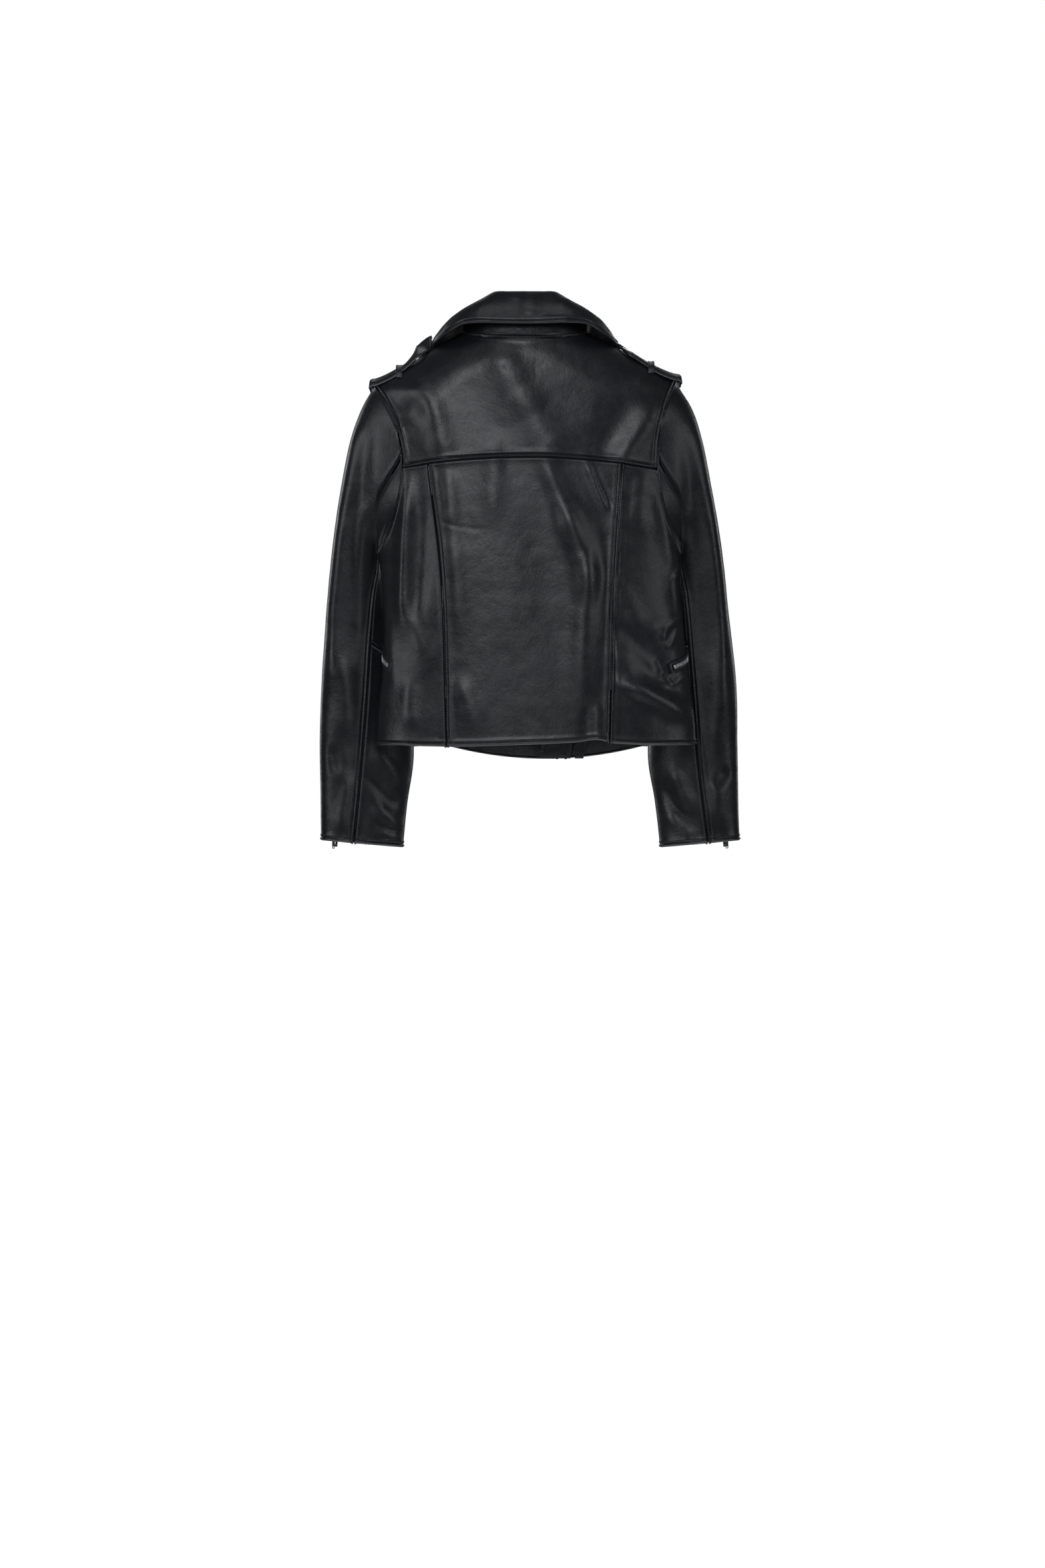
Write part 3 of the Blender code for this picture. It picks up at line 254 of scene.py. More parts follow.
# Small creases on the back: the same, but sharp
BACK_CREASES = (
    ((-207, -312), (-202, -332), 3.2, 1.5),
    ((-202, -328), (-209, -386), 3.2, 1.4),
    ((-209, -382), (-189, -400), 3.4, 1.7),
    ((-190, -397), (-187, -414), 3.2, 1.4),
    ((-207, -397), (-198, -420), 3.0, 1.3),
    ((-199, -418), (-191, -425), 3.0, 1.0),
    ((-190, -460), (-199, -476), 3.4, 1.7),
    ((-198, -476), (-218, -461), 3.4, 1.6),
    ((-180, -440), (-192, -466), 5.0, -1.4),
    ((112, -256), (90, -262), 2.2, -0.6),
    ((96, -262), (60, -266), 2.0, -0.5),
    ((74, -250), (70, -270), 2.0, -0.4),
    ((30, -46), (26, -54), 2.0, -0.7),
    ((-150, -218), (-172, -224), 2.5, -0.5),
    ((-140, -430), (-168, -452), 3.0, -0.7),
    ((-178, -462), (-200, -452), 3.0, -0.8),
    ((-186, -476), (-214, -478), 3.5, 0.8),
)
# Folds on the front, which nobody sees in the main view
FRONT_FOLDS = (
    ((140, -110), (110, -240), 18, 2.4),
    ((-150, -110), (-140, -230), 16, 2.2),
    ((60, -240), (30, -420), 22, 2.4),
    ((0, -260), (-20, -480), 18, -1.6),
    ((100, -300), (120, -370), 16, 1.8),
    ((146, -240), (166, -330), 12, 2.0),
    ((-160, -240), (-182, -330), 12, 2.0),
    ((100, -364), (200, -436), 11, -3.6),
    ((-110, -364), (-214, -438), 12, -5.0),
    ((-90, -330), (-110, -500), 16, 1.8),
    ((70, -430), (60, -545), 20, 2.2),
    ((130, -430), (150, -540), 16, 1.8),
    ((-140, -440), (-180, -540), 16, 2.0),
    ((20, -500), (-30, -556), 12, 1.6),
)
COLLAR_FOLDS = (
    ((-4, 50), (-8, 22), 9, 1.0),
    ((14, 44), (10, 20), 7, -0.6),
    ((-20, 18), (-58, 17), 4, 0.7),
    ((52, 44), (66, 16), 8, 0.8),
    ((-48, 46), (-64, 18), 9, 0.9),
)
SLEEVE_FOLDS = {
    1: (
        ((232, -120), (252, -240), 10, 2.2),
        ((214, -130), (226, -240), 11, -1.2),
        ((252, -236), (263, -372), 9, 2.4),
        ((224, -170), (240, -420), 16, -2.6),
        ((262, -360), (268, -470), 9, 1.8),
        ((250, -440), (238, -540), 13, 2.2),
        ((264, -560), (256, -590), 7, -1.8),
        ((240, -600), (250, -676), 10, 2.0),
        ((222, -250), (226, -420), 8, 1.4),
        ((206, -560), (170, -612), 9, 1.8),
        ((214, -600), (178, -640), 8, -1.8),
        ((206, -640), (172, -668), 7, 1.6),
        ((200, -672), (172, -684), 4, 1.4),
        ((204, -664), (180, -676), 4, -1.2),
    ),
    -1: (
        ((-236, -120), (-254, -230), 10, 2.2),
        ((-216, -140), (-232, -250), 11, -1.2),
        ((-254, -226), (-268, -372), 9, 2.4),
        ((-228, -180), (-250, -440), 16, -2.6),
        ((-268, -372), (-274, -520), 9, 1.8),
        ((-258, -440), (-262, -560), 10, 1.2),
        ((-266, -600), (-256, -660), 12, 2.2),
        ((-276, -590), (-262, -612), 6, -1.6),
        ((-200, -590), (-228, -640), 10, 1.8),
        ((-188, -610), (-222, -670), 9, -1.6),
        ((-196, -650), (-230, -684), 8, 1.4),
    ),
}


# ---------------------------------------------------------------- numbers


def between(a, b, share):
    return a + (b - a) * share


def eased(share):
    """The share held between 0 and 1, starting and ending softly."""
    share = np.clip(share, 0.0, 1.0)
    return share * share * (3.0 - 2.0 * share)


def read_curve(points, at):
    """Values at these keys, on a smooth curve through (key, value) pairs in rising order of key."""
    keys = np.array([p[0] for p in points], float)
    values = np.array([p[1] for p in points], float)
    count = len(keys)
    ahead = np.minimum(np.arange(count) + 1, count - 1)
    behind = np.maximum(np.arange(count) - 1, 0)
    slopes = (values[ahead] - values[behind]) / (keys[ahead] - keys[behind])
    at = np.clip(at, keys[0], keys[-1])
    i = np.clip(np.searchsorted(keys, at, side="right") - 1, 0, count - 2)
    span = keys[i + 1] - keys[i]
    s = (at - keys[i]) / span
    return (
        values[i] * (2 * s**3 - 3 * s**2 + 1)
        + slopes[i] * span * (s**3 - 2 * s**2 + s)
        + values[i + 1] * (3 * s**2 - 2 * s**3)
        + slopes[i + 1] * span * (s**3 - s**2)
    )


def unit(vectors):
    vectors = np.asarray(vectors, float)
    return vectors / np.maximum(np.linalg.norm(vectors, axis=-1, keepdims=True), 1e-9)


def stack(x, y, z):
    return np.stack(np.broadcast_arrays(x, y, z), axis=-1).astype(float)


def smooth_path(points, shares):
    """Points on a smooth curve through 3-D points, at these shares of its parameter."""
    at = shares * (len(points) - 1)
    return np.stack([read_curve(list(enumerate(values)), at) for values in zip(*points)], axis=-1)


def even_path(points, outs, step):
    """The same polyline with points this far apart, and the outward direction at each."""
    points = np.asarray(points, float)
    run = np.concatenate([[0], np.cumsum(np.linalg.norm(np.diff(points, axis=0), axis=1))])
    at = np.linspace(0, run[-1], max(2, int(run[-1] / step) + 1))
    path, facing = (
        np.stack([np.interp(at, run, rows[:, axis]) for axis in range(3)], axis=-1) for rows in (points, outs)
    )
    return path, unit(facing)


# ---------------------------------------------------------------- the body's surface


def by_side(x, table):
    return np.where(np.asarray(x) > 0, table[1], table[-1])


def shoulder_tip(x):
    """How far out the tip of the shoulder is on this side, and its height."""
    out = by_side(x, {side: abs(tip[0]) for side, tip in SHOULDER_TIP.items()})
    return out, by_side(x, {side: tip[1] for side, tip in SHOULDER_TIP.items()})


def ridge_z(x):
    """Height of the shoulders' ridge. The two shoulders' slopes blend across the neck."""
    across = np.sqrt(np.square(x) + NECK_ROUNDING**2) - 3.5
    tips = (SHOULDER_TIP[side] for side in (-1, 1))
    right, left = ((z - NECK_SIDE_Z) / (abs(tip_x) - NECK_HALF_WIDTH) for tip_x, z in tips)
    share = eased(np.asarray(x) / SLOPE_BLEND + 0.5)
    return NECK_SIDE_Z + between(right, left, share) * (across - NECK_HALF_WIDTH)


def shoulder_roll(drop):
    share = np.clip(np.maximum(drop, 0.0) / SHOULDER_ROUND, 0.0, 1.0)
    return np.sqrt(1.0 - (1.0 - share) ** 2)


def half_width(side, z):
    return by_side(side, {way: read_curve(curve, z) for way, curve in BODY_HALF_WIDTH.items()})


def body_point(side, turn, z, inset=0.0):
    """Points of the body. turn is 90 degrees at the middle of the back, 0 at the side, -90 in front."""
    turn = np.asarray(turn, float)
    z = np.asarray(z, float)
    front = turn < 0
    wide = half_width(side, z) - inset
    x = side * wide * np.maximum(np.cos(turn), 0.0) ** (2.0 / SIDE_SQUARENESS)
    out = np.abs(np.sin(turn))
    back_deep = BACK_DEPTH - 4.0 * np.clip((-300.0 - z) / 255.0, 0.0, 1.0)
    deep = np.where(front, FRONT_DEPTH, back_deep) - inset
    reach = deep * out * shoulder_roll(ridge_z(x) - inset - z)
    return stack(x, RIDGE_Y + np.where(front, -reach, reach), z)


def turn_at(side, x, z, front, inset=0.0):
    share = np.minimum(np.abs(x) / (half_width(side, z) - inset), 1.0)
    turn = np.arccos(share ** (SIDE_SQUARENESS / 2.0))
    return np.where(front, -turn, turn)


def on_body(x, z, front, inset=0.0):
    x = np.asarray(x, float)
    z = np.asarray(z, float)
    side = np.where(x >= 0, 1, -1)
    point = body_point(side, turn_at(side, x, z, front, inset), z, inset)
    point[..., 0] = x
    return point


def armhole(side, turn_degrees, front):
    turn = np.radians(turn_degrees)
    share = (1.0 - np.cos(turn)) / 2.0
    bow = np.where(front, ARMHOLE_BOW[side][1], ARMHOLE_BOW[side][0])
    x = between(SHOULDER_TIP[side][0], UNDERARM[side][0], share) - side * bow * np.sin(turn) ** 2
    return x, between(SHOULDER_TIP[side][1], UNDERARM[side][1], share)


def armhole_turn_at(side, z):
    share = (z - SHOULDER_TIP[side][1]) / (UNDERARM[side][1] - SHOULDER_TIP[side][1])
    return np.degrees(np.arccos(np.clip(1.0 - 2.0 * share, -1.0, 1.0)))


def back_armhole_x(side, z):
    """How far out the back armhole is at this height."""
    return by_side(side, {way: np.abs(armhole(way, armhole_turn_at(way, z), False)[0]) for way in (1, -1)})


def yoke_seam_z(x):
    return YOKE_SEAM_CENTRE_Z + (YOKE_SEAM_END_Z - YOKE_SEAM_CENTRE_Z) * np.square(x / 170.0)


def neck_z(x):
    return NECK_BACK_Z + (NECK_SIDE_Z - NECK_BACK_Z) * np.square(x / NECK_HALF_WIDTH)


def back_hem_z(x):
    return read_curve(BACK_HEM, x)


def front_hem_z(x):
    return HEM_FRONT_Z + 18.0 * np.minimum(np.square((x + 28.0) / 136.0), 1.0)


# ---------------------------------------------------------------- grids of points


def seam_samples(length, step=GRID_STEP, first=True, last=True):
    """Shares across a panel of this length, close together near its seams."""
    lines = np.array(SEAM_LINES)
    start = lines if first else np.array([0.0])
    end = lines if last else np.array([0.0])
    low, high = start[-1], length - end[-1]
    count = max(2, int(math.ceil((high - low) / step)))
    middle = np.linspace(low, high, count + 1)
    return np.concatenate([start[:-1], middle, (length - end[:-1])[::-1]]) / length


def run_along(grid, axis):
    """Distance along the grid from its first line."""
    steps = np.linalg.norm(np.diff(grid, axis=axis), axis=-1)
    zero = np.zeros_like(steps[:, :1]) if axis == 1 else np.zeros_like(steps[:1])
    return np.concatenate([zero, np.cumsum(steps, axis=axis)], axis=axis)


def grid_normals(grid, inside):
    """Unit normals, facing away from the inside points."""
    along = np.gradient(grid, axis=1)
    down = np.gradient(grid, axis=0)
    normals = unit(np.cross(along, down))
    shared = min(len(grid), len(inside))
    return normals if (normals[:shared] * (grid[:shared] - inside[:shared])).sum() > 0 else -normals


def border_distances(grid):
    across = run_along(grid, 1)
    down = run_along(grid, 0)
    return {"left": across, "right": across[:, -1:] - across, "top": down, "bottom": down[-1:] - down}


def seam_height(grid, edges):
    """Height of the leather over its plain surface, from the kinds of seam on its borders.

    A border's kind is a name in EDGE_SHAPES, or two names and where the second one holds.
    """
    distances = border_distances(grid)
    raised = np.zeros(grid.shape[:2])
    sunk = np.zeros(grid.shape[:2])
    for border, kind in edges.items():
        first, second, switch = kind if isinstance(kind, tuple) else (kind, kind, True)
        heights = [read_curve(EDGE_SHAPES[name], distances[border]) for name in (second, first)]
        height = np.where(switch, *heights)
        raised = np.maximum(raised, height)
        sunk = np.minimum(sunk, height)
    return sunk + raised * np.clip(1.0 + sunk, 0.0, 1.0)


def fold_height(points, folds, sharp=False):
    """Height of the folds at these points, each a ridge or hollow along a line in the x, z plane."""
    total = np.zeros(points.shape[:-1])
    x, z = points[..., 0], points[..., 2]
    for (x0, z0), (x1, z1), width, height in folds:
        length = math.hypot(x1 - x0, z1 - z0)
        ux, uz = (x1 - x0) / length, (z1 - z0) / length
        along = (x - x0) * ux + (z - z0) * uz
        across = (z - z0) * ux - (x - x0) * uz
        wander = 0.0 if sharp else 0.08 * width * np.sin(along / length * 5.0 + x0)
        spread = 1.0 + 0.25 * np.clip(along / length, 0, 1)
        ends = eased(np.minimum(along, length - along) / (0.45 * length) + 0.45)
        total += height * ends * np.exp(-np.square((across + wander) / (width * spread)))
    return total


def ripples(points, scale, seed):
    """Smooth noise from -1 to 1 at these points."""
    flat = points.reshape(-1, 3) / scale + seed
    values = [noise.noise(Vector(p)) for p in flat]
    return np.array(values).reshape(points.shape[:-1])


def dress(grid, inside, edges, back_folds=(), front_folds=(), creases=(), liveliness=1.0, keep=None):
    """The grid with its folds and seams. keep scales the folds, for instance near a border."""
    normals = grid_normals(grid, inside)
    facing = normals[..., 1]
    folds = 1.5 * fold_height(grid, back_folds) * np.clip(facing * 1.6, 0, 1)
    folds += fold_height(grid, creases, sharp=True) * np.clip(facing * 1.6, 0, 1)
    folds += fold_height(grid, front_folds) * np.clip(-facing * 1.6, 0, 1)
    folds += liveliness * (0.8 * ripples(grid, 60.0, 3.7) + 0.2 * ripples(grid, 17.0, 9.1))
    if keep is not None:
        folds = folds * keep
    return grid + normals * (folds + seam_height(grid, edges))[..., None]


def turned(grid, border):
    """The grid with this border as its last row."""
    if border in ("left", "right"):
        grid = grid.transpose(1, 0, 2)
    return grid[::-1] if border in ("left", "top") else grid


def at_distance(rows, values, distance):
    """Values on each column at this distance from the last row."""
    run = run_along(rows, 0)
    from_edge = (run[-1:] - run)[::-1]
    columns = range(rows.shape[1])
    return np.array(
        [[np.interp(distance, from_edge[:, i], values[::-1, i, axis]) for axis in range(3)] for i in columns]
    )


def fold_under(grid, inside, reach, gap=3.4):
    """The grid with its bottom turned under in a round fold, with this much leather behind."""
    facing = grid_normals(grid, inside)
    ahead = unit(grid[-1] - grid[-3])
    radius = gap / 2
    extra = []
    for k in range(1, 7):
        angle = math.pi * k / 6
        round_fold = ahead * radius * math.sin(angle) - facing[-1] * radius * (1 - math.cos(angle))
        extra.append(grid[-1] + round_fold)
    for distance in np.linspace(0, reach, max(3, int(reach / 5)) + 1)[1:]:
        extra.append(at_distance(grid, grid - facing * gap, distance))
    return np.concatenate([grid, np.stack(extra)], axis=0)


def inset_line(grid, inside, border, distance=STITCH_INSET):
    """Points and normals along the grid at this distance from a border."""
    rows = turned(grid, border)
    facing = turned(grid_normals(grid, inside), border)
    return at_distance(rows, rows, distance), unit(at_distance(rows, facing, distance))


def inset_lines(grid, inside, borders, distance=STITCH_INSET):
    return [inset_line(grid, inside, border, distance) for border in borders]


# ---------------------------------------------------------------- meshes


def new_object(name, verts, faces, surface, sharp=38.0):
    mesh = bpy.data.meshes.new(name)
    mesh.from_pydata((np.asarray(verts, float) * MM).tolist(), [], faces)
    mesh.validate()
    mesh.materials.append(surface)
    mesh.shade_smooth()
    mesh.set_sharp_from_angle(angle=math.radians(sharp))
    made = bpy.data.objects.new(name, mesh)
    bpy.context.scene.collection.objects.link(made)
    return made


def tidy_normals(made):
    bm = bmesh.new()
    bm.from_mesh(made.data)
    bmesh.ops.recalc_face_normals(bm, faces=bm.faces[:])
    bm.to_mesh(made.data)
    bm.free()


def grid_faces(rows, columns, round_across=True, round_down=False):
    """Four-sided faces between the points of a grid, joined up across or down where it is round."""
    faces = []
    for j in range(rows if round_down else rows - 1):
        m = (j + 1) % rows
        for i in range(columns if round_across else columns - 1):
            n = (i + 1) % columns
            faces.append((j * columns + i, j * columns + n, m * columns + n, m * columns + i))
    return faces


def end_faces(rows, columns):
    """The two faces that close a tube's ends."""
    return [tuple(range(columns)), tuple(reversed(range((rows - 1) * columns, rows * columns)))]


def shell(name, grid, inside, surface, thickness=LEATHER, closed=False):
    """A closed sheet of this thickness with the grid as its outer face."""
    if closed:
        wrapped, wrapped_inside = (np.concatenate([g[:, -1:], g, g[:, :1]], axis=1) for g in (grid, inside))
        normals = grid_normals(wrapped, wrapped_inside)[:, 1:-1]
    else:
        normals = grid_normals(grid, inside)
    rows, columns = grid.shape[:2]
    inner = grid - normals * thickness
    verts = np.concatenate([grid.reshape(-1, 3), inner.reshape(-1, 3)])
    shift = rows * columns
    outer = grid_faces(rows, columns, closed)
    if np.dot(np.cross(grid[0, 1] - grid[0, 0], grid[1, 0] - grid[0, 0]), normals[0, 0]) < 0:
        outer = [face[::-1] for face in outer]
    edges = dict.fromkeys((face[k], face[(k + 1) % 4]) for face in outer for k in range(4))
    walls = [(q, p, p + shift, q + shift) for p, q in edges if (q, p) not in edges]
    faces = outer + [tuple(v + shift for v in face[::-1]) for face in outer] + walls
    return new_object(name, verts, faces, surface)


def scatter(name, verts, faces, origins, axes, surface, slot, sharp=38.0):
    """One mesh with a copy of a small shape at each origin, turned by its three axes."""
    verts = np.asarray(verts, float)
    count = len(verts)
    placed = np.einsum("vk,nkx->nvx", verts, axes) + origins[:, None, :]
    every = []
    for n in range(len(origins)):
        every.extend(tuple(v + n * count for v in face) for face in faces)
    return new_object(name, placed.reshape(-1, 3), every, surface, sharp)


def metal_piece(name, shape, origins, axes):
    """Metal copies of a small shape."""
    made = scatter(name, *shape, origins, axes, metal, "silver_metal", 50.0)
    tidy_normals(made)
    return made


def capsule(length, radius):
    """A stitch lying along X: round, full in the middle and pulled down at both ends."""
    rings, sides = 5, 6
    verts = []
    for k in range(rings):
        share = k / (rings - 1) * 2 - 1
        size = radius * (1.0 - 0.55 * abs(share) ** 3)
        drop = -0.55 * abs(share) ** 2.5
        for s in range(sides):
            angle = math.tau * s / sides
            verts.append((share * length / 2, size * math.cos(angle), 0.12 + size * math.sin(angle) + drop))
    faces = grid_faces(rings, sides) + end_faces(rings, sides)
    return verts, [face[::-1] for face in faces]


def stitches(name, lines):
    """Rows of separate stitches along lines of (points, normals)."""
    origins, axes = [], []
    for points, outs in lines:
        path, facing = even_path(points, outs, STITCH_PITCH)
        ahead = unit(np.gradient(path, axis=0))
        across = unit(np.cross(facing, ahead))
        origins.append(path)
        axes.append(np.stack([ahead, across, np.cross(ahead, across)], axis=1))
    shape = capsule(STITCH_LENGTH, STITCH_RADIUS)
    return scatter(name, *shape, np.concatenate(origins), np.concatenate(axes), thread, "black_leather")


def sweep(name, path, outs, width, thickness, surface, rounding, sides=3, closed=False):
    """A flat bar with rounded edges along a path. outs gives its outer face's direction."""
    path = np.asarray(path, float)
    if closed:
        ahead = unit(np.roll(path, -1, axis=0) - np.roll(path, 1, axis=0))
    else:
        ahead = unit(np.gradient(path, axis=0))
    outs = unit(outs - ahead * (outs * ahead).sum(-1, keepdims=True))
    across = np.cross(ahead, outs)
    section = []
    for corner_x, corner_y, start in ((1, 1, 0), (-1, 1, 90), (-1, -1, 180), (1, -1, 270)):
        for k in range(sides + 1):
            angle = math.radians(start + 90 * k / sides)
            section.append((corner_x, corner_y, math.cos(angle), math.sin(angle)))
    section = np.array(section)
    radius = min(rounding, thickness / 2 - 0.01)
    a = section[:, 0] * (width / 2 - radius) + section[:, 2] * radius
    b = section[:, 1] * (thickness / 2 - radius) + section[:, 3] * radius
    rings = path[:, None] + across[:, None] * a[:, None] + outs[:, None] * b[:, None]
    size = len(path), len(section)
    faces = [(p, s, r, q) for p, q, r, s in grid_faces(*size, round_down=closed)]
    if not closed:
        faces += end_faces(*size)
    made = new_object(name, rings.reshape(-1, 3), faces, surface)
    tidy_normals(made)
    return made


def hung_cloth(piece):
    """Hands back a lining piece as it is."""
    return piece


def cloth_piece(name, grid, inside, scale, seed, size, drift=0.0):
    """A thin lining piece with soft ripples of this size, drawn in by drift."""
    moved = grid - grid_normals(grid, inside) * (drift + size * ripples(grid, scale, seed))[..., None]
    return shell(name, moved, inside, lining, LINING)


def rounded_box(size, bevel):
    """Verts and faces of a box with bevelled edges, centred on the origin."""
    bm = bmesh.new()
    bmesh.ops.create_cube(bm, size=1.0)
    for vertex in bm.verts:
        vertex.co = Vector(c * s for c, s in zip(vertex.co, size))
    bmesh.ops.bevel(bm, geom=bm.edges[:], offset=bevel, segments=2, affect="EDGES", profile=0.6)
    verts = [tuple(v.co) for v in bm.verts]
    faces = [tuple(v.index for v in face.verts) for face in bm.faces]
    bm.free()
    return verts, faces


def joined(*parts):
    """One list of verts and faces from rounded boxes, each (size, bevel, middle)."""
    verts, faces = [], []
    for size, bevel, middle in parts:
        start = len(verts)
        box_verts, box_faces = rounded_box(size, bevel)
        verts.extend(tuple(c + o for c, o in zip(v, middle)) for v in box_verts)
        faces.extend(tuple(i + start for i in face) for face in box_faces)
    return verts, faces


def facing_along(out, count):
    return np.tile(np.array(out, float), (count, 1))


def lathe(profile):
    """Verts and faces turned about Z from (radius, height) pairs, closed at the first and last."""
    segments = 40
    verts = []
    for radius, height in profile:
        for k in range(segments):
            angle = math.tau * k / segments
            verts.append((radius * math.cos(angle), radius * math.sin(angle), height))
    ends = [face[::-1] for face in end_faces(len(profile), segments)]
    return verts, grid_faces(len(profile), segments) + ends


# ---------------------------------------------------------------- materials


class Nodes:
    """A short way to write a material's nodes. Inputs are keywords, with _ for a space."""

    def __init__(self, name, colour, roughness, metallic=0.0):
        self.material = bpy.data.materials.new(name)
        self.material.use_nodes = True
        self.tree = self.material.node_tree
        self.shader = self.tree.nodes["Principled BSDF"]
        self.shade(Base_Color=(*colour, 1.0), Roughness=roughness, Metallic=metallic)
        self.material.diffuse_color = (*colour, 1.0)
        self.coordinates = self.add("ShaderNodeTexCoord").outputs["Object"]

    def set(self, node, name, value):
        if isinstance(value, bpy.types.NodeSocket):
            self.tree.links.new(value, node.inputs[name])
        else:
            node.inputs[name].default_value = value

    def add(self, kind, **inputs):
        node = self.tree.nodes.new(kind)
        for key, value in inputs.items():
            self.set(node, key.replace("_", " "), value)
        return node

    def shade(self, **inputs):
        """Set the surface shader's inputs."""
        for key, value in inputs.items():
            self.set(self.shader, key.replace("_", " "), value)
        return self.material

    def noise(self, scale, detail, roughness=0.5):
        node = self.add(
            "ShaderNodeTexNoise", Vector=self.coordinates, Scale=scale, Detail=detail, Roughness=roughness
        )
        return node.outputs["Fac"]

    def cells(self, scale, feature="F1"):
        node = self.add("ShaderNodeTexVoronoi", Vector=self.coordinates, Scale=scale)
        node.feature = feature
        return node.outputs["Distance"]

    def ribs(self, scale, direction, distortion=0.0):
        node = self.add("ShaderNodeTexWave", Vector=self.coordinates, Scale=scale, Distortion=distortion)
        node.bands_direction = direction
        return node.outputs["Fac"]

    def range(self, value, low, high, to_low, to_high):
        limits = {"From_Min": low, "From_Max": high, "To_Min": to_low, "To_Max": to_high}
        return self.add("ShaderNodeMapRange", Value=value, **limits).outputs["Result"]

    def mix(self, share, first, second):
        """A colour between two colours or sockets."""
        node = self.add("ShaderNodeMix")
        node.data_type = "RGBA"
        for index, value in ((0, share), (6, first), (7, second)):
            self.set(node, index, (*value, 1.0) if isinstance(value, tuple) else value)
        return node.outputs[2]

    def combine(self, first, second, operation="ADD"):
        node = self.add("ShaderNodeMath")
        node.operation = operation
        self.set(node, 0, first)
        self.set(node, 1, second)
        return node.outputs[0]

    def bump(self, height, strength, distance, **normal):
        node = self.add("ShaderNodeBump", Height=height, Strength=strength, Distance=distance, **normal)
        return node.outputs["Normal"]


def leather_material(name, colour, wear_and_edge_highlight):
    """Smooth nappa: fine grain, soft creases, a slightly uneven sheen, a painted highlight on convex edges
    and seams, and painted shade in hollows.
    """
    nodes = Nodes(name, colour, 0.4)
    patches = nodes.noise(9.0, 3.0, 0.55)
    streaks = nodes.noise(45.0, 4.0, 0.6)
    grain = nodes.cells(1150.0, "SMOOTH_F1")
    pores = nodes.cells(620.0)
    creases = nodes.noise(170.0, 5.0, 0.62)
    tone = nodes.mix(nodes.range(patches, 0.35, 0.7, 0.0, 1.0), colour, wear_and_edge_highlight)
    edge = nodes.add("ShaderNodeNewGeometry").outputs["Pointiness"]
    # Painted highlight: convex edges and seam ridges, found by pointiness, are lightened to 2.4 times the
    # second tone.
    tone = nodes.mix(nodes.range(edge, 0.51, 0.58, 0.0, 0.6), tone, tuple(c * 2.4 for c in wear_and_edge_highlight))
    # Painted shade: hollows and seam grooves, found by pointiness, are darkened towards near black.
    tone = nodes.mix(nodes.range(edge, 0.42, 0.49, 0.8, 0.0), tone, (0.004, 0.004, 0.005))
    rough = nodes.combine(
        nodes.range(streaks, 0.3, 0.7, -0.05, 0.05),
        nodes.range(patches, 0.3, 0.7, 0.30, 0.37),
    )
    rough = nodes.combine(rough, nodes.range(creases, 0.3, 0.7, -0.03, 0.03))
    mottle = nodes.range(streaks, 0.3, 0.7, -0.09, 0.09)
    # Painted shade and highlight in the reflection: the specular level is lowered in hollows and raised on
    # convex edges.
    shine = nodes.combine(nodes.range(edge, 0.42, 0.54, 0.12, 0.62), mottle)
    normal = nodes.bump(grain, 0.22, 0.0004)
    for height, strength, distance in ((pores, 0.10, 0.0005), (creases, 0.2, 0.0014), (streaks, 0.13, 0.004)):
        normal = nodes.bump(height, strength, distance, Normal=normal)
    nodes.shade(Base_Color=tone, Roughness=rough, Specular_IOR_Level=shine, Normal=normal)
    return nodes.shade(Coat_Weight=0.12, Coat_Roughness=0.3)


def lining_material():
    """Satin twill: fine diagonal ribs and a soft sheen."""
    nodes = Nodes("satin_lining", (0.020, 0.020, 0.024), 0.42)
    twill = nodes.ribs(520.0, "DIAGONAL", 0.6)
    cloud = nodes.noise(30.0, 4.0)
    normal = nodes.bump(twill, 0.2, 0.0003)
    return nodes.shade(
        Base_Color=nodes.mix(cloud, (0.014, 0.014, 0.017), (0.030, 0.030, 0.036)),
        Roughness=nodes.range(twill, 0.0, 1.0, 0.36, 0.5),
        Sheen_Weight=0.25,
        Normal=nodes.bump(cloud, 0.15, 0.003, Normal=normal),
    )


def tape_material():
    """Woven zip tape: ribs in both directions."""
    nodes = Nodes("zip_tape_weave", (0.010, 0.010, 0.011), 0.85)
    weave = nodes.combine(nodes.ribs(700.0, "X"), nodes.ribs(700.0, "Z"), "MULTIPLY")
    return nodes.shade(
        Base_Color=nodes.mix(weave, (0.007, 0.007, 0.008), (0.022, 0.022, 0.024)),
        Roughness=nodes.range(weave, 0.0, 1.0, 0.9, 0.75),
        Normal=nodes.bump(weave, 0.5, 0.0004),
    )


def metal_material():
    """Polished nickel with faint scratches and dulled patches."""
    nodes = Nodes("polished_nickel", (0.80, 0.80, 0.81), 0.2, 0.8)
    patches = nodes.noise(160.0, 4.0, 0.6)
    scratches = nodes.noise(900.0, 3.0, 0.7)
    return nodes.shade(
        Base_Color=nodes.mix(patches, (0.62, 0.62, 0.64), (0.86, 0.86, 0.86)),
        Roughness=nodes.range(patches, 0.3, 0.7, 0.26, 0.42),
        Normal=nodes.bump(scratches, 0.06, 0.0002),
    )


def thread_material():
    """Black twisted thread, duller than the leather."""
    nodes = Nodes("black_thread", (0.009, 0.009, 0.010), 0.6)
    twist = nodes.ribs(900.0, "DIAGONAL", 1.0)
    return nodes.shade(
        Base_Color=nodes.mix(twist, (0.006, 0.006, 0.007), (0.016, 0.016, 0.018)),
        Roughness=nodes.range(twist, 0.0, 1.0, 0.5, 0.7),
        Normal=nodes.bump(twist, 0.4, 0.0002),
    )


def label_material():
    """A plain woven label with a satin ground and no text."""
    nodes = Nodes("plain_label", (0.05, 0.05, 0.055), 0.6)
    rib = nodes.ribs(600.0, "Z")
    return nodes.shade(
        Base_Color=nodes.mix(nodes.noise(60.0, 3.0), (0.040, 0.040, 0.045), (0.065, 0.065, 0.070)),
        Roughness=nodes.range(rib, 0.0, 1.0, 0.5, 0.7),
        Normal=nodes.bump(rib, 0.3, 0.0003),
    )


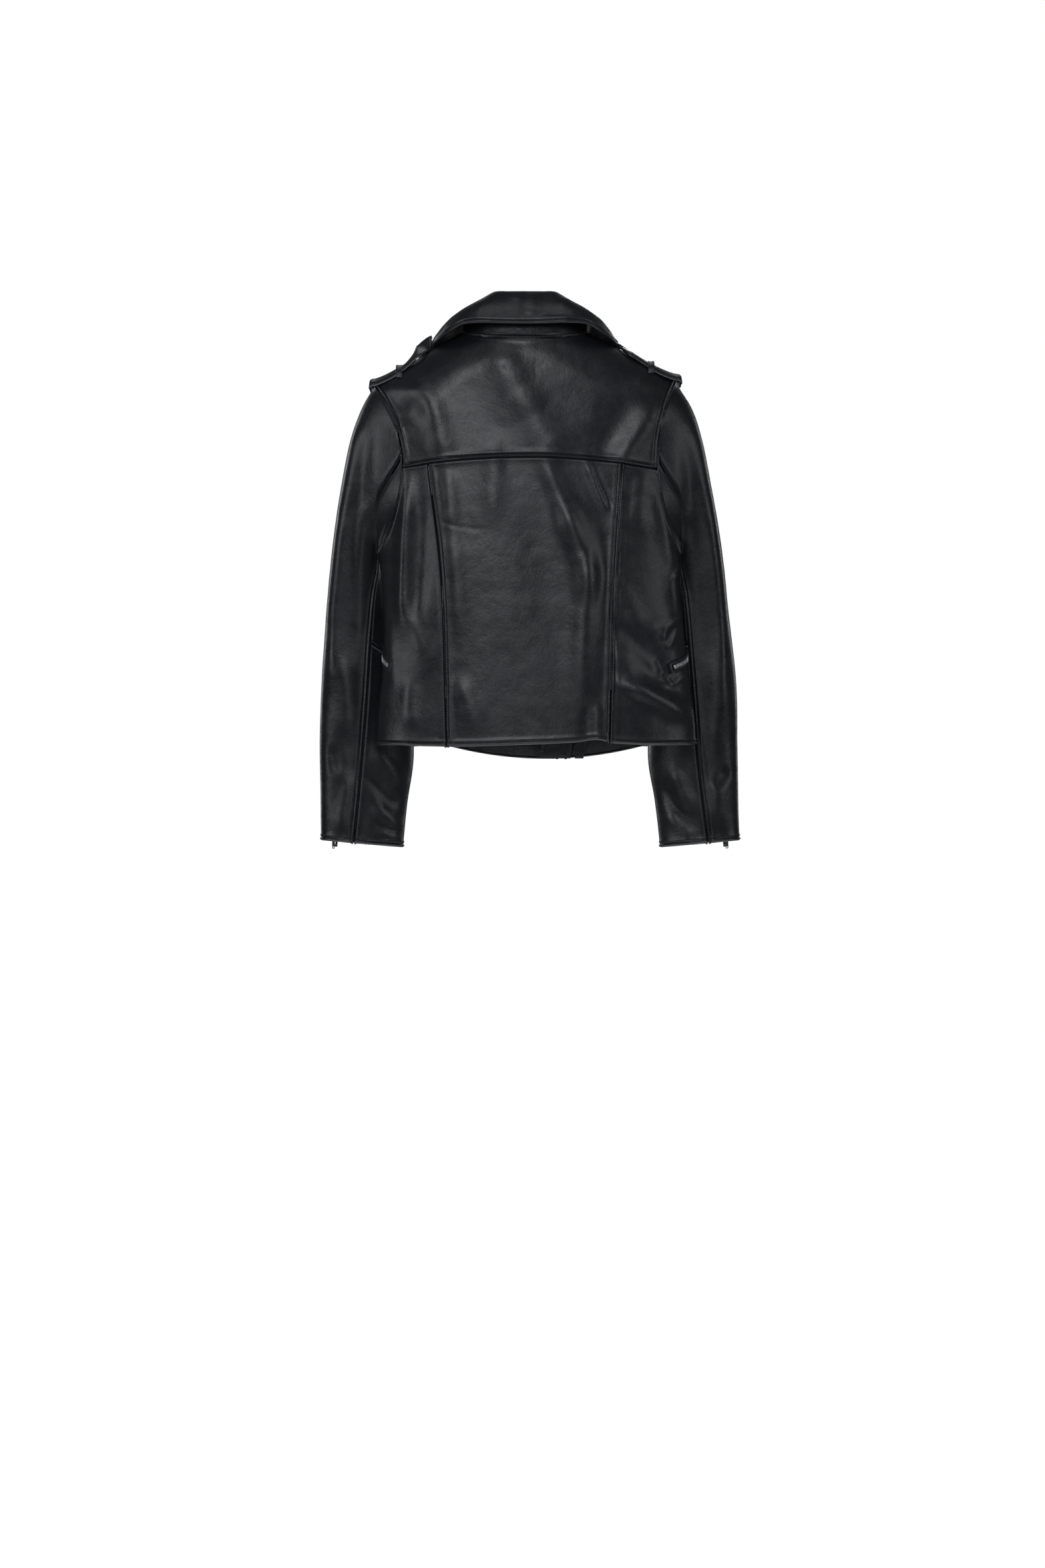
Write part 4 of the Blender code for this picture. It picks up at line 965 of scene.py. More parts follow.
leather = leather_material("black_nappa", (0.0084, 0.0089, 0.0112), (0.0124, 0.0130, 0.0160))
lining = lining_material()
tape = tape_material()
metal = metal_material()
thread = thread_material()
label_cloth = label_material()


# ---------------------------------------------------------------- the body's panels


def body_inside(grid):
    """Points on the body's middle plane, to tell outwards from inwards."""
    return stack(grid[..., 0] * 0.9, np.full(grid.shape[:2], RIDGE_Y), grid[..., 2])


def on_root(piece, *nodes):
    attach(piece, "root")
    if nodes:
        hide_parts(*nodes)
    return piece


def build_back_yoke():
    u, v = np.meshgrid(seam_samples(2 * 185.0) * 2.0 - 1.0, seam_samples(150.0))
    tip_x, tip_z = shoulder_tip(u)
    v_drop = v**1.25
    end_z = between(tip_z, YOKE_SEAM_END_Z, v_drop)
    x = u * back_armhole_x(u, end_z)
    top_x = u * tip_x
    top = np.where(np.abs(top_x) < NECK_HALF_WIDTH, neck_z(top_x), ridge_z(top_x))
    z = between(top, yoke_seam_z(x), v_drop)
    z = between(z, end_z, np.abs(u) ** 14)
    z = np.minimum(z, ridge_z(x))
    grid = on_body(x, z, False)
    inside = body_inside(grid)
    inside[..., 2] -= 40.0
    edges = dict.fromkeys(("left", "right", "bottom"), "stitched")
    edges["top"] = ("stitched", "plain", np.abs(top_x) > NECK_HALF_WIDTH)
    grid = dress(grid, inside, edges, BACK_FOLDS, creases=BACK_CREASES)
    lines = inset_lines(grid, inside, ("left", "right", "bottom"))
    neck_points, neck_outs = inset_line(grid, inside, "top")
    near = np.abs(neck_points[:, 0]) < NECK_HALF_WIDTH - 2
    lines.append((neck_points[near], neck_outs[near]))
    on_root(shell("back_yoke_leather", grid, inside, leather), "back_yoke")
    return lines


def build_back_centre():
    u, v = np.meshgrid(seam_samples(236.0), seam_samples(372.0))
    z_row = between(YOKE_SEAM_END_Z, BACK_HEM_Z, v)
    x = between(read_curve(PRINCESS_SEAM[-1], z_row), read_curve(PRINCESS_SEAM[1], z_row), u)
    z = between(yoke_seam_z(x), back_hem_z(x), v)
    grid = on_body(x, z, False)
    inside = body_inside(grid)
    edges = {"left": "stitched", "right": "stitched", "top": "plain", "bottom": "hem"}
    grid = dress(grid, inside, edges, BACK_FOLDS, creases=BACK_CREASES)
    lines = inset_lines(grid, inside, ("left", "right", "bottom"))
    grid = fold_under(grid, inside, 26.0)
    on_root(shell("back_centre_leather", grid, inside, leather), "back_centre_panel")
    return lines


def side_top_path(side, across):
    """(turn, z) along the side panel's top: the yoke seam, then round the armhole to the front seam."""
    start = armhole_turn_at(side, YOKE_SEAM_END_Z)
    seam_x = read_curve(PRINCESS_SEAM[side], YOKE_SEAM_END_Z)
    edge_x = armhole(side, start, False)[0]
    on_yoke = across <= SIDE_YOKE_SHARE
    in_front = across > SIDE_UNDERARM_SHARE
    x_yoke = between(seam_x, edge_x, np.clip(across / SIDE_YOKE_SHARE, 0, 1))
    by_back = (across - SIDE_YOKE_SHARE) / (SIDE_UNDERARM_SHARE - SIDE_YOKE_SHARE)
    by_front = (across - SIDE_UNDERARM_SHARE) / (1 - SIDE_UNDERARM_SHARE)
    back_turn = between(start, 180.0, np.clip(by_back, 0, 1))
    front_turn = between(180.0, FRONT_SEAM_TOP_TURN, np.clip(by_front, 0, 1))
    x_hole, z_hole = armhole(side, np.where(in_front, front_turn, back_turn), in_front)
    x = np.where(on_yoke, x_yoke, x_hole)
    z = np.where(on_yoke, yoke_seam_z(x_yoke), z_hole)
    return turn_at(side, x, z, in_front), z


def front_seam_x(side, z):
    top_x, top_z = armhole(side, FRONT_SEAM_TOP_TURN, True)
    hem_x = FRONT_SEAM_HEM_X[side]
    hem_z = front_hem_z(hem_x)
    return between(hem_x, top_x, (z - hem_z) / (top_z - hem_z))


def build_side_panel(side, word):
    kinks = [SIDE_YOKE_SHARE - 0.004, SIDE_YOKE_SHARE, SIDE_YOKE_SHARE + 0.004, SIDE_UNDERARM_SHARE]
    across = np.unique(np.concatenate([seam_samples(230.0), kinks]))
    u, v = np.meshgrid(across, seam_samples(330.0))
    turn, z_top = side_top_path(side, u)
    hem_x = FRONT_SEAM_HEM_X[side]
    princess_hem = read_curve(PRINCESS_SEAM[side], BACK_HEM_Z)
    hem_start = turn_at(side, princess_hem, BACK_HEM_Z, False)
    hem_end = turn_at(side, hem_x, front_hem_z(hem_x), True)
    hem_turn = between(hem_start, hem_end, u)
    hem_place = body_point(side, hem_turn, np.full_like(u, BACK_HEM_Z - 1.0))
    in_front = eased(0.5 - (hem_place[..., 1] - RIDGE_Y) / 90.0)
    hem_z = between(back_hem_z(hem_place[..., 0]), front_hem_z(hem_x), in_front)
    z = between(z_top, hem_z, v)
    this_turn = between(turn, hem_turn, v)
    princess = turn_at(side, read_curve(PRINCESS_SEAM[side], z), z, False)
    front_edge = turn_at(side, front_seam_x(side, z), z, True)
    for seam, share in ((princess, u), (front_edge, 1 - u)):
        this_turn = between(this_turn, seam, np.clip(1 - share / SIDE_YOKE_SHARE, 0, 1) ** 2)
    grid = body_point(side, this_turn, z)
    inside = body_inside(grid)
    inside[..., 0] = side * SIDE_MIDDLE_X
    by_pocket = (z < -380.0) & (z > -430.0)
    edges = {
        "left": "stitched" if side < 0 else "plain",
        "right": ("stitched", "flat", by_pocket),
        "top": ("plain", "stitched", u > SIDE_YOKE_SHARE),
        "bottom": "hem",
    }
    grid = dress(grid, inside, edges, BACK_FOLDS, FRONT_FOLDS, BACK_CREASES)
    top_points, top_outs = inset_line(grid, inside, "top")
    on_hole = u[0] > SIDE_YOKE_SHARE + 0.005
    lines = [(top_points[on_hole], top_outs[on_hole])]
    lines += inset_lines(grid, inside, ("bottom", "right", "left") if side < 0 else ("bottom", "right"))
    grid = fold_under(grid, inside, 26.0)
    on_root(shell(f"side_leather_{word}", grid, inside, leather), f"side_panel_{word}")
    return lines


def front_outer_edge(side, share):
    seam_top_z = armhole(side, FRONT_SEAM_TOP_TURN, True)[1]
    low_z = between(front_hem_z(FRONT_SEAM_HEM_X[side]), seam_top_z, np.clip(share / ZIP_SHARE, 0, 1))
    hole_turn = between(FRONT_SEAM_TOP_TURN, 0.0, np.clip((share - ZIP_SHARE) / (1.0 - ZIP_SHARE), 0, 1))
    hole_x, hole_z = armhole(side, hole_turn, True)
    low = share <= ZIP_SHARE
    return np.where(low, front_seam_x(side, low_z), hole_x), np.where(low, low_z, hole_z)


def front_inner_edge(side, share):
    beside_zip = side * ZIP_SLOT / 2
    neck_x, gorge_z = LAPEL_NECK[side]
    by_zip = np.clip(share / ZIP_SHARE, 0, 1)
    by_roll = np.clip((share - ZIP_SHARE) / (ROLL_SHARE - ZIP_SHARE), 0, 1)
    by_neck = np.clip((share - ROLL_SHARE) / (1.0 - ROLL_SHARE), 0, 1)
    x = between(ZIP_BOTTOM[0], ZIP_TOP[0], by_zip) + beside_zip
    x = np.where(share > ZIP_SHARE, between(ZIP_TOP[0] + beside_zip, neck_x, by_roll), x)
    x = np.where(share > ROLL_SHARE, between(neck_x, side * NECK_HALF_WIDTH, by_neck), x)
    z = between(HEM_FRONT_Z, ZIP_TOP[1], by_zip)
    z = np.where(share > ZIP_SHARE, between(ZIP_TOP[1], gorge_z, by_roll), z)
    z = np.where(share > ROLL_SHARE, between(gorge_z, NECK_SIDE_Z, by_neck), z)
    return x, z


def build_front_panel(side, word):
    up = np.unique(np.concatenate([seam_samples(590.0), [ZIP_SHARE, ROLL_SHARE]]))[::-1]
    u, v = np.meshgrid(seam_samples(190.0 if side > 0 else 130.0), up)
    inner_x, inner_z = front_inner_edge(side, v)
    outer_x, outer_z = front_outer_edge(side, v)
    x = between(inner_x, outer_x, u)
    z = between(inner_z, outer_z, u)
    near_hem = np.clip(1.0 - v / 0.05, 0, 1)
    z = between(z, front_hem_z(x) + z - z[-1:], near_hem**2)
    z = np.minimum(z, ridge_z(x))
    grid = on_body(x, z, True)
    inside = body_inside(grid)
    inside[..., 2] -= 40.0
    above_zip = v > ZIP_SHARE
    edges = {
        "left": ("stitched", "none", above_zip),
        "right": ("plain", "stitched", above_zip),
        "top": "plain",
        "bottom": "hem",
    }
    grid = dress(grid, inside, edges, front_folds=FRONT_FOLDS)
    lines = []
    for border, rows in (("left", v[:, 0] < ZIP_SHARE + 0.004), ("right", above_zip[:, 0])):
        points, outs = inset_line(grid, inside, border)
        lines.append((points[rows], outs[rows]))
    lines.append(inset_line(grid, inside, "bottom"))
    grid = fold_under(grid, inside, 34.0)
    on_root(shell(f"front_leather_{word}", grid, inside, leather), f"front_panel_{word}")
    return lines


# ---------------------------------------------------------------- sleeves


def ring_table(side, part, axis):
    """(ring, value) pairs of one coordinate of the sleeve's outer edge, part 0, or inner edge, part 1."""
    table = []
    for i, ring in enumerate(SLEEVE_RINGS):
        value = ring[part][axis]
        if axis == 0:
            value = value if side > 0 else -(value + RIGHT_ARM_SHIFT[part][i])
            value *= 1.0 + SLEEVE_EASE[side] * min(i / 2.0, 1.0)
        table.append((i, value))
    return table


def by_ring(values, ring):
    return read_curve(tuple(enumerate(values)), ring)


def sleeve_point(side, ring, turn_degrees, gaps=(0.7, 1.6)):
    """Points of the sleeve. turn is 0 on the outer edge, 90 at the back, 180 at the inner edge."""
    ring = np.asarray(ring, float)
    turn = np.radians(turn_degrees)
    outer, inner = (
        np.stack([read_curve(ring_table(side, part, axis), ring) for axis in range(3)], axis=-1)
        for part in (0, 1)
    )
    deep = by_ring([r[2] for r in SLEEVE_RINGS], ring)
    bow = by_ring(SLEEVE_BOW, ring) * np.sin(turn) ** 2
    point = (outer + inner) / 2 + (outer - inner) / 2 * np.cos(turn)[..., None]
    point = point + stack(-side * bow, deep * np.sin(turn), 0.0)
    at_armhole = np.clip(1.0 - ring / 1.2, 0, 1) ** 2
    front = np.sin(turn) < 0
    hole_turn = np.degrees(np.arccos(np.clip(np.cos(turn), -1.0, 1.0)))
    x, z = armhole(side, hole_turn, front)
    seat = on_body(x, z, front)
    low = (1.0 - np.cos(turn)) / 2.0
    seat[..., 0] += side * between(*gaps, low**4)
    return between(point, seat, at_armhole[..., None])


def sleeve_inside(side, ring):
    """The middle of the sleeve at these rings."""
    outer, inner = (sleeve_point(side, ring, np.full_like(ring, turn)) for turn in (0.0, 180.0))
    return (outer + inner) / 2


def hang(piece, side, word, *nodes):
    """Bakes a sleeve piece's placement into its mesh and hides the CAD parts that it replaces."""
    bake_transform(piece)
    if nodes:
        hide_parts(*nodes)
    return piece


def build_sleeve(side, word):
    """The upper sleeve, from the front seam over the outer edge to the back seam, and the two under it."""
    seam_gap = 0.5
    lines = []
    for part, first, last, length, width, stitched in (
        ("upper_sleeve", 0.0, LAST_RING, 650.0, 190.0, "right"),
        ("under_sleeve", 0.0, ELBOW_SEAM_RING, 330.0, 140.0, None),
        ("under_forearm", ELBOW_SEAM_RING, LAST_RING, 290.0, 140.0, "top"),
    ):
        u, r = np.meshgrid(seam_samples(width), between(first, last, seam_samples(length, SLEEVE_GRID_STEP)))
        if part == "upper_sleeve":
            turn = between(-SLEEVE_FRONT_SEAM + seam_gap, by_ring(SLEEVE_BACK_SEAM, r) - seam_gap, u)
        else:
            turn = between(by_ring(SLEEVE_BACK_SEAM, r) + seam_gap, 360.0 - SLEEVE_FRONT_SEAM - seam_gap, u)
        grid = sleeve_point(side, r, turn)
        inside = sleeve_inside(side, r)
        edges = dict.fromkeys(("left", "right", "top", "bottom"), "plain")
        if last == LAST_RING:
            edges |= {stitched: "stitched", "bottom": "hem"}
        keep = np.clip(r / 0.8, 0, 1)
        grid = dress(grid, inside, edges, SLEEVE_FOLDS[side], keep=keep, liveliness=0.6)
        if last == LAST_RING:
            lines += [inset_line(grid, inside, stitched), inset_line(grid, inside, "bottom", 9.0)]
            grid = fold_under(grid, inside, 24.0)
            inside = np.concatenate([inside, np.repeat(inside[-1:], len(grid) - len(inside), axis=0)])
        hang(shell(f"{part}_leather_{word}", grid, inside, leather), side, word, f"{part}_{word}")
    hang(stitches(f"sleeve_stitching_{word}", lines), side, word)


def build_sleeve_lining(side, word):
    """A loose tube inside the sleeve."""
    rows = np.linspace(0.5, LAST_RING - 0.3, 90)
    u, r = np.meshgrid(np.linspace(0, 360, 64, endpoint=False), rows)
    grid = sleeve_point(side, r, u)
    middle_x = read_curve(ARM_MIDDLE_X, grid[..., 2])
    if side < 0:
        middle_x = -(middle_x + read_curve(RIGHT_ARM_MIDDLE_SHIFT, grid[..., 2]))
    middle = stack(middle_x, read_curve(ARM_MIDDLE_Y, grid[..., 2]), grid[..., 2])
    inset = between(3.2, SLEEVE_LINING_INSET, np.clip(r / 2.5, 0, 1)) + 0.9 * ripples(grid, 22.0, 5.0)
    grid = grid + unit(middle - grid) * inset[..., None]
    tube = shell(f"sleeve_lining_cloth_{word}", grid, middle, lining, LINING, closed=True)
    hung_cloth(tube)
    hang(tube, side, word, f"sleeve_lining_{word}")


# ---------------------------------------------------------------- collar and lapels


def whole_curve(half, shares):
    right = [(-x, y, z) for x, y, z in reversed(half[1:])]
    return smooth_path(right + list(half), shares)


def bowed(first, last, bulge, shares):
    """Rows of points from one curve to another, bowed outwards between them."""
    rows = []
    for share in shares:
        point = between(first, last, share)
        out = unit(stack(point[:, 0], point[:, 1], 0.0)) + np.array([0, 0, 0.6])
        rows.append(point + out * (bulge * math.sin(math.pi * min(share, 1.0)) ** 0.8)[:, None])
    return np.stack(rows)


def neck_inside(grid, share=0.5, drop=60.0):
    """Points inside the collar, to tell outwards from inwards."""
    return stack(grid[..., 0] * share, grid[..., 1] * share - 10.0, grid[..., 2] - drop)


def build_collar():
    along = seam_samples(470.0, 3.2)
    fold, edge, foot, top = (
        whole_curve(half, along) for half in (COLLAR_FOLD, COLLAR_EDGE, STAND_FOOT, STAND_TOP)
    )
    fullness = 4.0 + 7.5 * np.clip((np.abs(edge[:, 0]) - 60.0) / 45.0, 0, 1)
    leaf = bowed(fold, edge, fullness, seam_samples(54.0, 3.0, first=False))
    centre = neck_inside(leaf)
    edges = {"left": "edge", "right": "edge", "bottom": "hem"}
    leaf = dress(leaf, centre, edges, COLLAR_FOLDS, liveliness=0.8)
    lines = inset_lines(leaf, centre, ("left", "right", "bottom"), EDGE_STITCH_INSET)
    leaf = fold_under(leaf, centre, 16.0, 3.0)
    # The roll: from the top of the stand over to the fold line
    roll = []
    for share in np.arange(8) / 8:
        base = between(between(top, foot, 0.08), leaf[0], share)
        roll.append(base + np.array([0, 0, 1.0]) * ROLL_BULGE * math.sin(math.pi * share))
    grid = np.concatenate([np.stack(roll), leaf])
    on_root(shell("collar_leaf_leather", grid, neck_inside(grid), leather), "collar")
    tuck = foot + unit(stack(-foot[:, 0] * 0.3, -np.maximum(foot[:, 1], 5.0), 0.0)) * 2.6
    stand = bowed(foot, top, np.full(len(foot), 1.0), seam_samples(58.0, 4.0, last=False))
    tucks = [tuck[None] + np.array([0, 0, z]) for z in (-7.0, -2.0)]
    stand = np.concatenate([*tucks, stand[1:]])
    centre = neck_inside(stand, 0.2, 0.0)
    stand = dress(stand, centre, {"top": "plain"}, liveliness=0.4)
    on_root(shell("collar_stand_leather", stand, centre, leather), "collar_stand")
    return lines


def build_lapel(side, word):
    neck, notch, corner, tip, end = (np.array((x, z), float) for x, z in LAPEL_OUTLINE[side])
    u, v = np.meshgrid(seam_samples(90.0, 3.6, first=False), seam_samples(190.0, 3.6))
    root = neck + (end - neck) * v[..., None]
    notch_share, tip_share = 0.35, 0.8
    upper = between(notch, corner, np.clip(v / notch_share, 0, 1)[..., None])
    middle = between(corner, tip, np.clip((v - notch_share) / (tip_share - notch_share), 0, 1)[..., None])
    lower = between(tip, end, np.clip((v - tip_share) / (1 - tip_share) * 0.93, 0, 1)[..., None])
    far = np.where((v < notch_share)[..., None], upper, np.where((v < tip_share)[..., None], middle, lower))
    place = between(root, far, u[..., None])
    surface = on_body(place[..., 0], place[..., 1], True)
    lift = LAPEL_CLEARANCE + CAD_LEATHER + 2.4 * np.sin(math.pi * u) ** 0.7
    lift = between(lift, LAPEL_CLEARANCE + CAD_LEATHER - 1.2, (1 - np.minimum(u / 0.04, 1)))
    grid = surface - np.array([0, 1.0, 0]) * lift[..., None]
    behind = np.array([0, 20.0, 0])
    inside = grid + behind
    grid = dress(grid, inside, dict.fromkeys(("right", "top", "bottom"), "edge"), liveliness=0.5)
    lines = inset_lines(grid, inside, ("right", "top"), EDGE_STITCH_INSET)
    # The roll: the front's own leather turning over into the lapel
    root_surface = on_body(root[:, 0, 0], root[:, 0, 1], True)
    inward = -side * unit([neck[1] - end[1], 0, end[0] - neck[0]])
    half = (grid[:, 0] - root_surface) / 2
    columns = []
    for k in range(8):
        angle = math.pi * k / 8
        columns.append(root_surface + half - half * math.cos(angle) + inward * ROLL_BULGE * math.sin(angle))
    grid = np.concatenate([np.stack(columns, axis=1), grid], axis=1)
    piece = shell(f"lapel_leather_{word}", grid, grid + behind, leather)
    for made in (piece, stitches(f"lapel_stitching_{word}", lines)):
        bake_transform(made)
    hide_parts(f"lapel_{word}")


# ---------------------------------------------------------------- epaulettes


def over_shoulder(x, across, lift):
    """Points this far above the shoulder and this far behind its ridge."""
    x = np.asarray(x, float)
    wide = half_width(x, shoulder_tip(x)[1])
    deep = BACK_DEPTH * np.sqrt(1.0 - (np.minimum(np.abs(x), EPAULETTE_STIFF_X) / wide) ** SIDE_SQUARENESS)
    fall = SHOULDER_ROUND * (1.0 - np.sqrt(np.maximum(0.0, 1.0 - (across / deep) ** 2)))
    return stack(x, RIDGE_Y + across, ridge_z(x) - fall + lift)


def build_epaulette_tip(side, word, across, lift, below):
    """The strap's free pointed end."""
    u, v = np.meshgrid(across, seam_samples(34.0, 2.4, first=False))
    roll = EPAULETTE_TIP_ROLL[side]
    curl = roll * np.minimum(v / 0.45, 1.0) ** 1.3 * (10.0 - 10.0 * u + 4.0 * u * u)
    curl = curl - roll * 7.0 * np.clip((v - 0.45) / 0.55, 0, 1)
    taper = np.clip((v - between(0.45, 0.62, (u + 1) / 2)) / 0.45, 0, 1)
    half = EPAULETTE_HALF_WIDTH * between(1.0, 0.12, taper)
    grid = over_shoulder(side * between(EPAULETTE_HINGE_X + 0.3, EPAULETTE_TIP_X, v), u * half, lift + curl)
    inside = grid - below
    grid = dress(grid, inside, dict.fromkeys(("left", "right", "bottom"), "edge"), liveliness=0.35)
    lines = inset_lines(grid, inside, ("left", "right"), 3.6)
    tip = shell(f"epaulette_tip_leather_{word}", grid, inside, leather, thickness=EPAULETTE_THICKNESS)
    for piece in (tip, stitches(f"epaulette_tip_stitching_{word}", lines)):
        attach(piece, f"epaulette_tip_{word}")
    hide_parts(f"epaulette_tip_{word}")


def build_epaulette(side, word):
    lift = EPAULETTE_LIFT + CAD_LEATHER
    across = seam_samples(2 * EPAULETTE_HALF_WIDTH, 3.0) * 2 - 1
    u, v = np.meshgrid(across, np.linspace(0, 1, 34))
    places = between(EPAULETTE_HINGE_X + 0.6, abs(SHOULDER_TIP[side][0]) + 1.0, v)
    flat = over_shoulder(side * places, u * EPAULETTE_HALF_WIDTH, lift + EPAULETTE_END_RISE * v**3)
    loop = []
    for k in range(1, 13):
        turn = math.pi * k / 12
        shift = np.array([side * (1.0 + 6.6 * math.sin(turn)), 0.0, -4.4 * (1 - math.cos(turn))])
        loop.append(flat[-1] + shift)
    grid = np.concatenate([flat, np.stack(loop)])
    below = np.array([0, 0, 12.0])
    inside = grid - below
    inside[len(flat):] = flat[-1] + np.array([-side * 2.0, 0, -4.4])
    grid = dress(grid, inside, {"left": "edge", "right": "edge"}, liveliness=0.35)
    lines = inset_lines(grid[: len(flat)], inside[: len(flat)], ("left", "right"), 3.6)
    strap = shell(f"epaulette_leather_{word}", grid, inside, leather, thickness=EPAULETTE_THICKNESS)
    on_root(strap, f"epaulette_{word}")
    on_root(stitches(f"epaulette_stitching_{word}", lines))
    build_epaulette_tip(side, word, across, lift, below)
    # The keeper over the strap
    shares = np.concatenate([[-1.0, -0.98], np.linspace(-0.95, 0.95, 19), [0.98, 1.0]])
    lifts = lift + 1.7 - 4.4 * np.clip((np.abs(shares) - 0.9) / 0.1, 0, 1) ** 2
    path = over_shoulder(np.full(len(shares), side * KEEPER_X), shares * (EPAULETTE_HALF_WIDTH + 3.0), lifts)
    outs = facing_along((0.0, 0.0, 1.0), len(path))
    outs[:2] = (0, -0.6, 0.8)
    outs[-2:] = (0, 0.6, 0.8)
    keeper = sweep(f"epaulette_keeper_leather_{word}", path, outs, 9.0, 1.6, leather, 0.7)
    on_root(keeper, f"epaulette_keeper_{word}")
    rows = [(path[2:-2] + np.array([shift, 0, 0.85]), outs[2:-2]) for shift in (-2.9, 2.9)]
    on_root(stitches(f"epaulette_keeper_stitching_{word}", rows))


# ---------------------------------------------------------------- zips and studs


def axes_from(ahead, out):
    ahead = unit(np.asarray(ahead, float))
    out = unit(out - ahead * (np.asarray(out) * ahead).sum(-1, keepdims=True))
    return np.stack([ahead, np.cross(out, ahead), out], axis=-2)


def axes_along(path, outs):
    """The directions ahead, across and out at each point of a path."""
    return axes_from(unit(np.gradient(path, axis=0)), outs)


def zip_teeth(name, path, outs):
    """Interlocked metal teeth along a path, alternately from either side, with their centre beads."""
    points, facing = even_path(path, outs, TOOTH_PITCH)
    axes = axes_along(points, facing)
    sideways = np.where(np.arange(len(points)) % 2 == 0, 1.0, -1.0)
    origins = points + axes[:, 1] * (sideways * 0.85)[:, None]
    flip = sideways[:, None, None]
    axes = axes * np.concatenate([np.ones_like(flip), flip, np.ones_like(flip)], axis=1)
    tooth = joined(((1.0, 3.4, 1.5), 0.28, (0.0, 0.3, 0.0)), ((0.8, 1.3, 1.9), 0.3, (0.0, -1.0, 0.0)))
    return metal_piece(name, tooth, origins, axes)


def ribbon(name, path, outs, offset, width):
    """A strip of zip tape beside a path."""
    axes = axes_along(path, outs)
    beside = path + axes[:, 1] * offset[0] + axes[:, 2] * offset[1]
    return sweep(name, beside, outs, width, 0.7, tape, 0.3)


def node_box(node):
    """The middle of a node's box in the CAD, and half its size."""
    low, high = (np.array(corner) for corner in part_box(node))
    return (low + high) / 2 / MM, (high - low) / 2 / MM


def zip_slider(prefix, along, out):
    """The slider's two plates, its bridge and the loop that the pull hangs from."""
    shape = joined(
        ((10.5, 8.6, 1.1), 0.4, (0.0, 0.0, 0.55)),
        ((7.2, 6.0, 0.9), 0.4, (0.4, 0.0, 1.35)),
        ((6.4, 1.5, 1.3), 0.4, (0.6, 0.0, 2.2)),
    )
    middle, half = node_box(f"{prefix}_slider")
    base = middle - unit(out) * (np.dot(half, np.abs(unit(out))) * 0.9 - 0.6)
    axes = axes_from(np.array([along]), np.array([out]))
    made = metal_piece(f"{prefix}_slider_metal", shape, np.array([base]), axes)
    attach(made, f"{prefix}_slider")
    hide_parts(f"{prefix}_slider")


def zip_puller(prefix, hinge, hang_way, out, length, width):
    """An open rectangular pull: a rounded frame that turns on its top bar."""
    inset = 0.9
    half = width / 2 - inset
    corners = [(inset, -half), (inset, half), (length - inset, half), (length - inset, -half)]
    axes = axes_from(np.array([hang_way]), np.array([out]))[0]
    path = []
    for (a, b), (next_a, next_b) in zip(corners, corners[1:] + corners[:1]):
        for share in np.linspace(0.12, 0.88, 6):
            place = axes[0] * between(a, next_a, share) + axes[1] * between(b, next_b, share)
            path.append(hinge + place + axes[2] * PULL_RISE)
    outs = np.tile(axes[2], (len(path), 1))
    made = sweep(f"{prefix}_pull_metal", path, outs, 1.7, 1.2, metal, 0.5, closed=True)
    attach(made, f"{prefix}_puller")
    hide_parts(f"{prefix}_puller")


def welt(name, path, outs, ride):
    """A leather frame round a zip: two rolled lips that meet past both ends."""
    axes = axes_along(path, outs)
    half, outer, overrun = 5.2, 8.4, 7.0
    down = axes[:, 2] * (WELT_HEIGHT - 1.6)
    sides = axes[:, 1] * half
    first = path[0] - axes[0, 0] * overrun - down[0]
    last = path[-1] + axes[-1, 0] * overrun - down[-1]
    start = np.stack([first - sides[0] * 0.95, first + sides[0] * 0.95])
    end = np.stack([last + sides[-1] * 0.95, last - sides[-1] * 0.95])
    loop = np.concatenate([start, path + sides - down, end, (path - sides - down)[::-1]])
    loop_outs = np.concatenate([np.repeat(outs[:1], 2, 0), outs, np.repeat(outs[-1:], 2, 0), outs[::-1]])
    ride(sweep(name, loop, loop_outs, 4.6, WELT_HEIGHT, leather, 1.2, 4, closed=True))
    rows = [(path + axes[:, 1] * reach - axes[:, 2] * (WELT_HEIGHT - 0.5), outs) for reach in (outer, -outer)]
    ride(stitches(f"{name}_stitching", rows))


def stud(name, node, centre, out, radius, height, body):
    """A press stud's cap: a domed disc with a rolled rim."""
    profile = [(radius * wide, height * tall) for wide, tall in STUD_PROFILE]
    out = unit(out)
    helper = np.array([0.0, 0.0, 1.0]) if abs(out[2]) < 0.9 else np.array([1.0, 0, 0])
    axes = axes_from(np.array([np.cross(out, helper)]), np.array([out]))
    made = metal_piece(name, lathe(profile), np.array([centre]), axes)
    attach(made, body)
    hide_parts(node)


def joint_vector(name, key):
    return np.array(next(joint for joint in frame["joints"] if joint["name"] == name)[key], float)


def zip_parts(prefix, out, length, width, hang_sign=1.0):
    """The slider and pull of one zip, placed by its joints."""
    slide = joint_vector(f"{prefix}_slide", "axis")
    zip_slider(prefix, slide, out)
    hinge = joint_vector(f"{prefix}_pull", "pos_m") / MM
    zip_puller(prefix, hinge, slide * hang_sign, out, length, width)


def zip_tapes(prefix, path, outs, ride, drop=-1.0, width=9.0):
    for way, word in ((1, "upper"), (-1, "lower")):
        ride(ribbon(f"{prefix}_tape_{word}", path, outs, (way * (width / 2 + 0.3), drop), width))


def end_stops(name, path, outs, ride):
    """The metal stop at a zip's far end."""
    axes = axes_along(path, outs)[-1:]
    ride(metal_piece(name, rounded_box((3.2, 5.4, 2.0), 0.4), path[-1:] + axes[:, 0] * 1.4, axes))


def straight_line(first, last, count):
    return between(first, last, np.linspace(0, 1, count)[:, None])


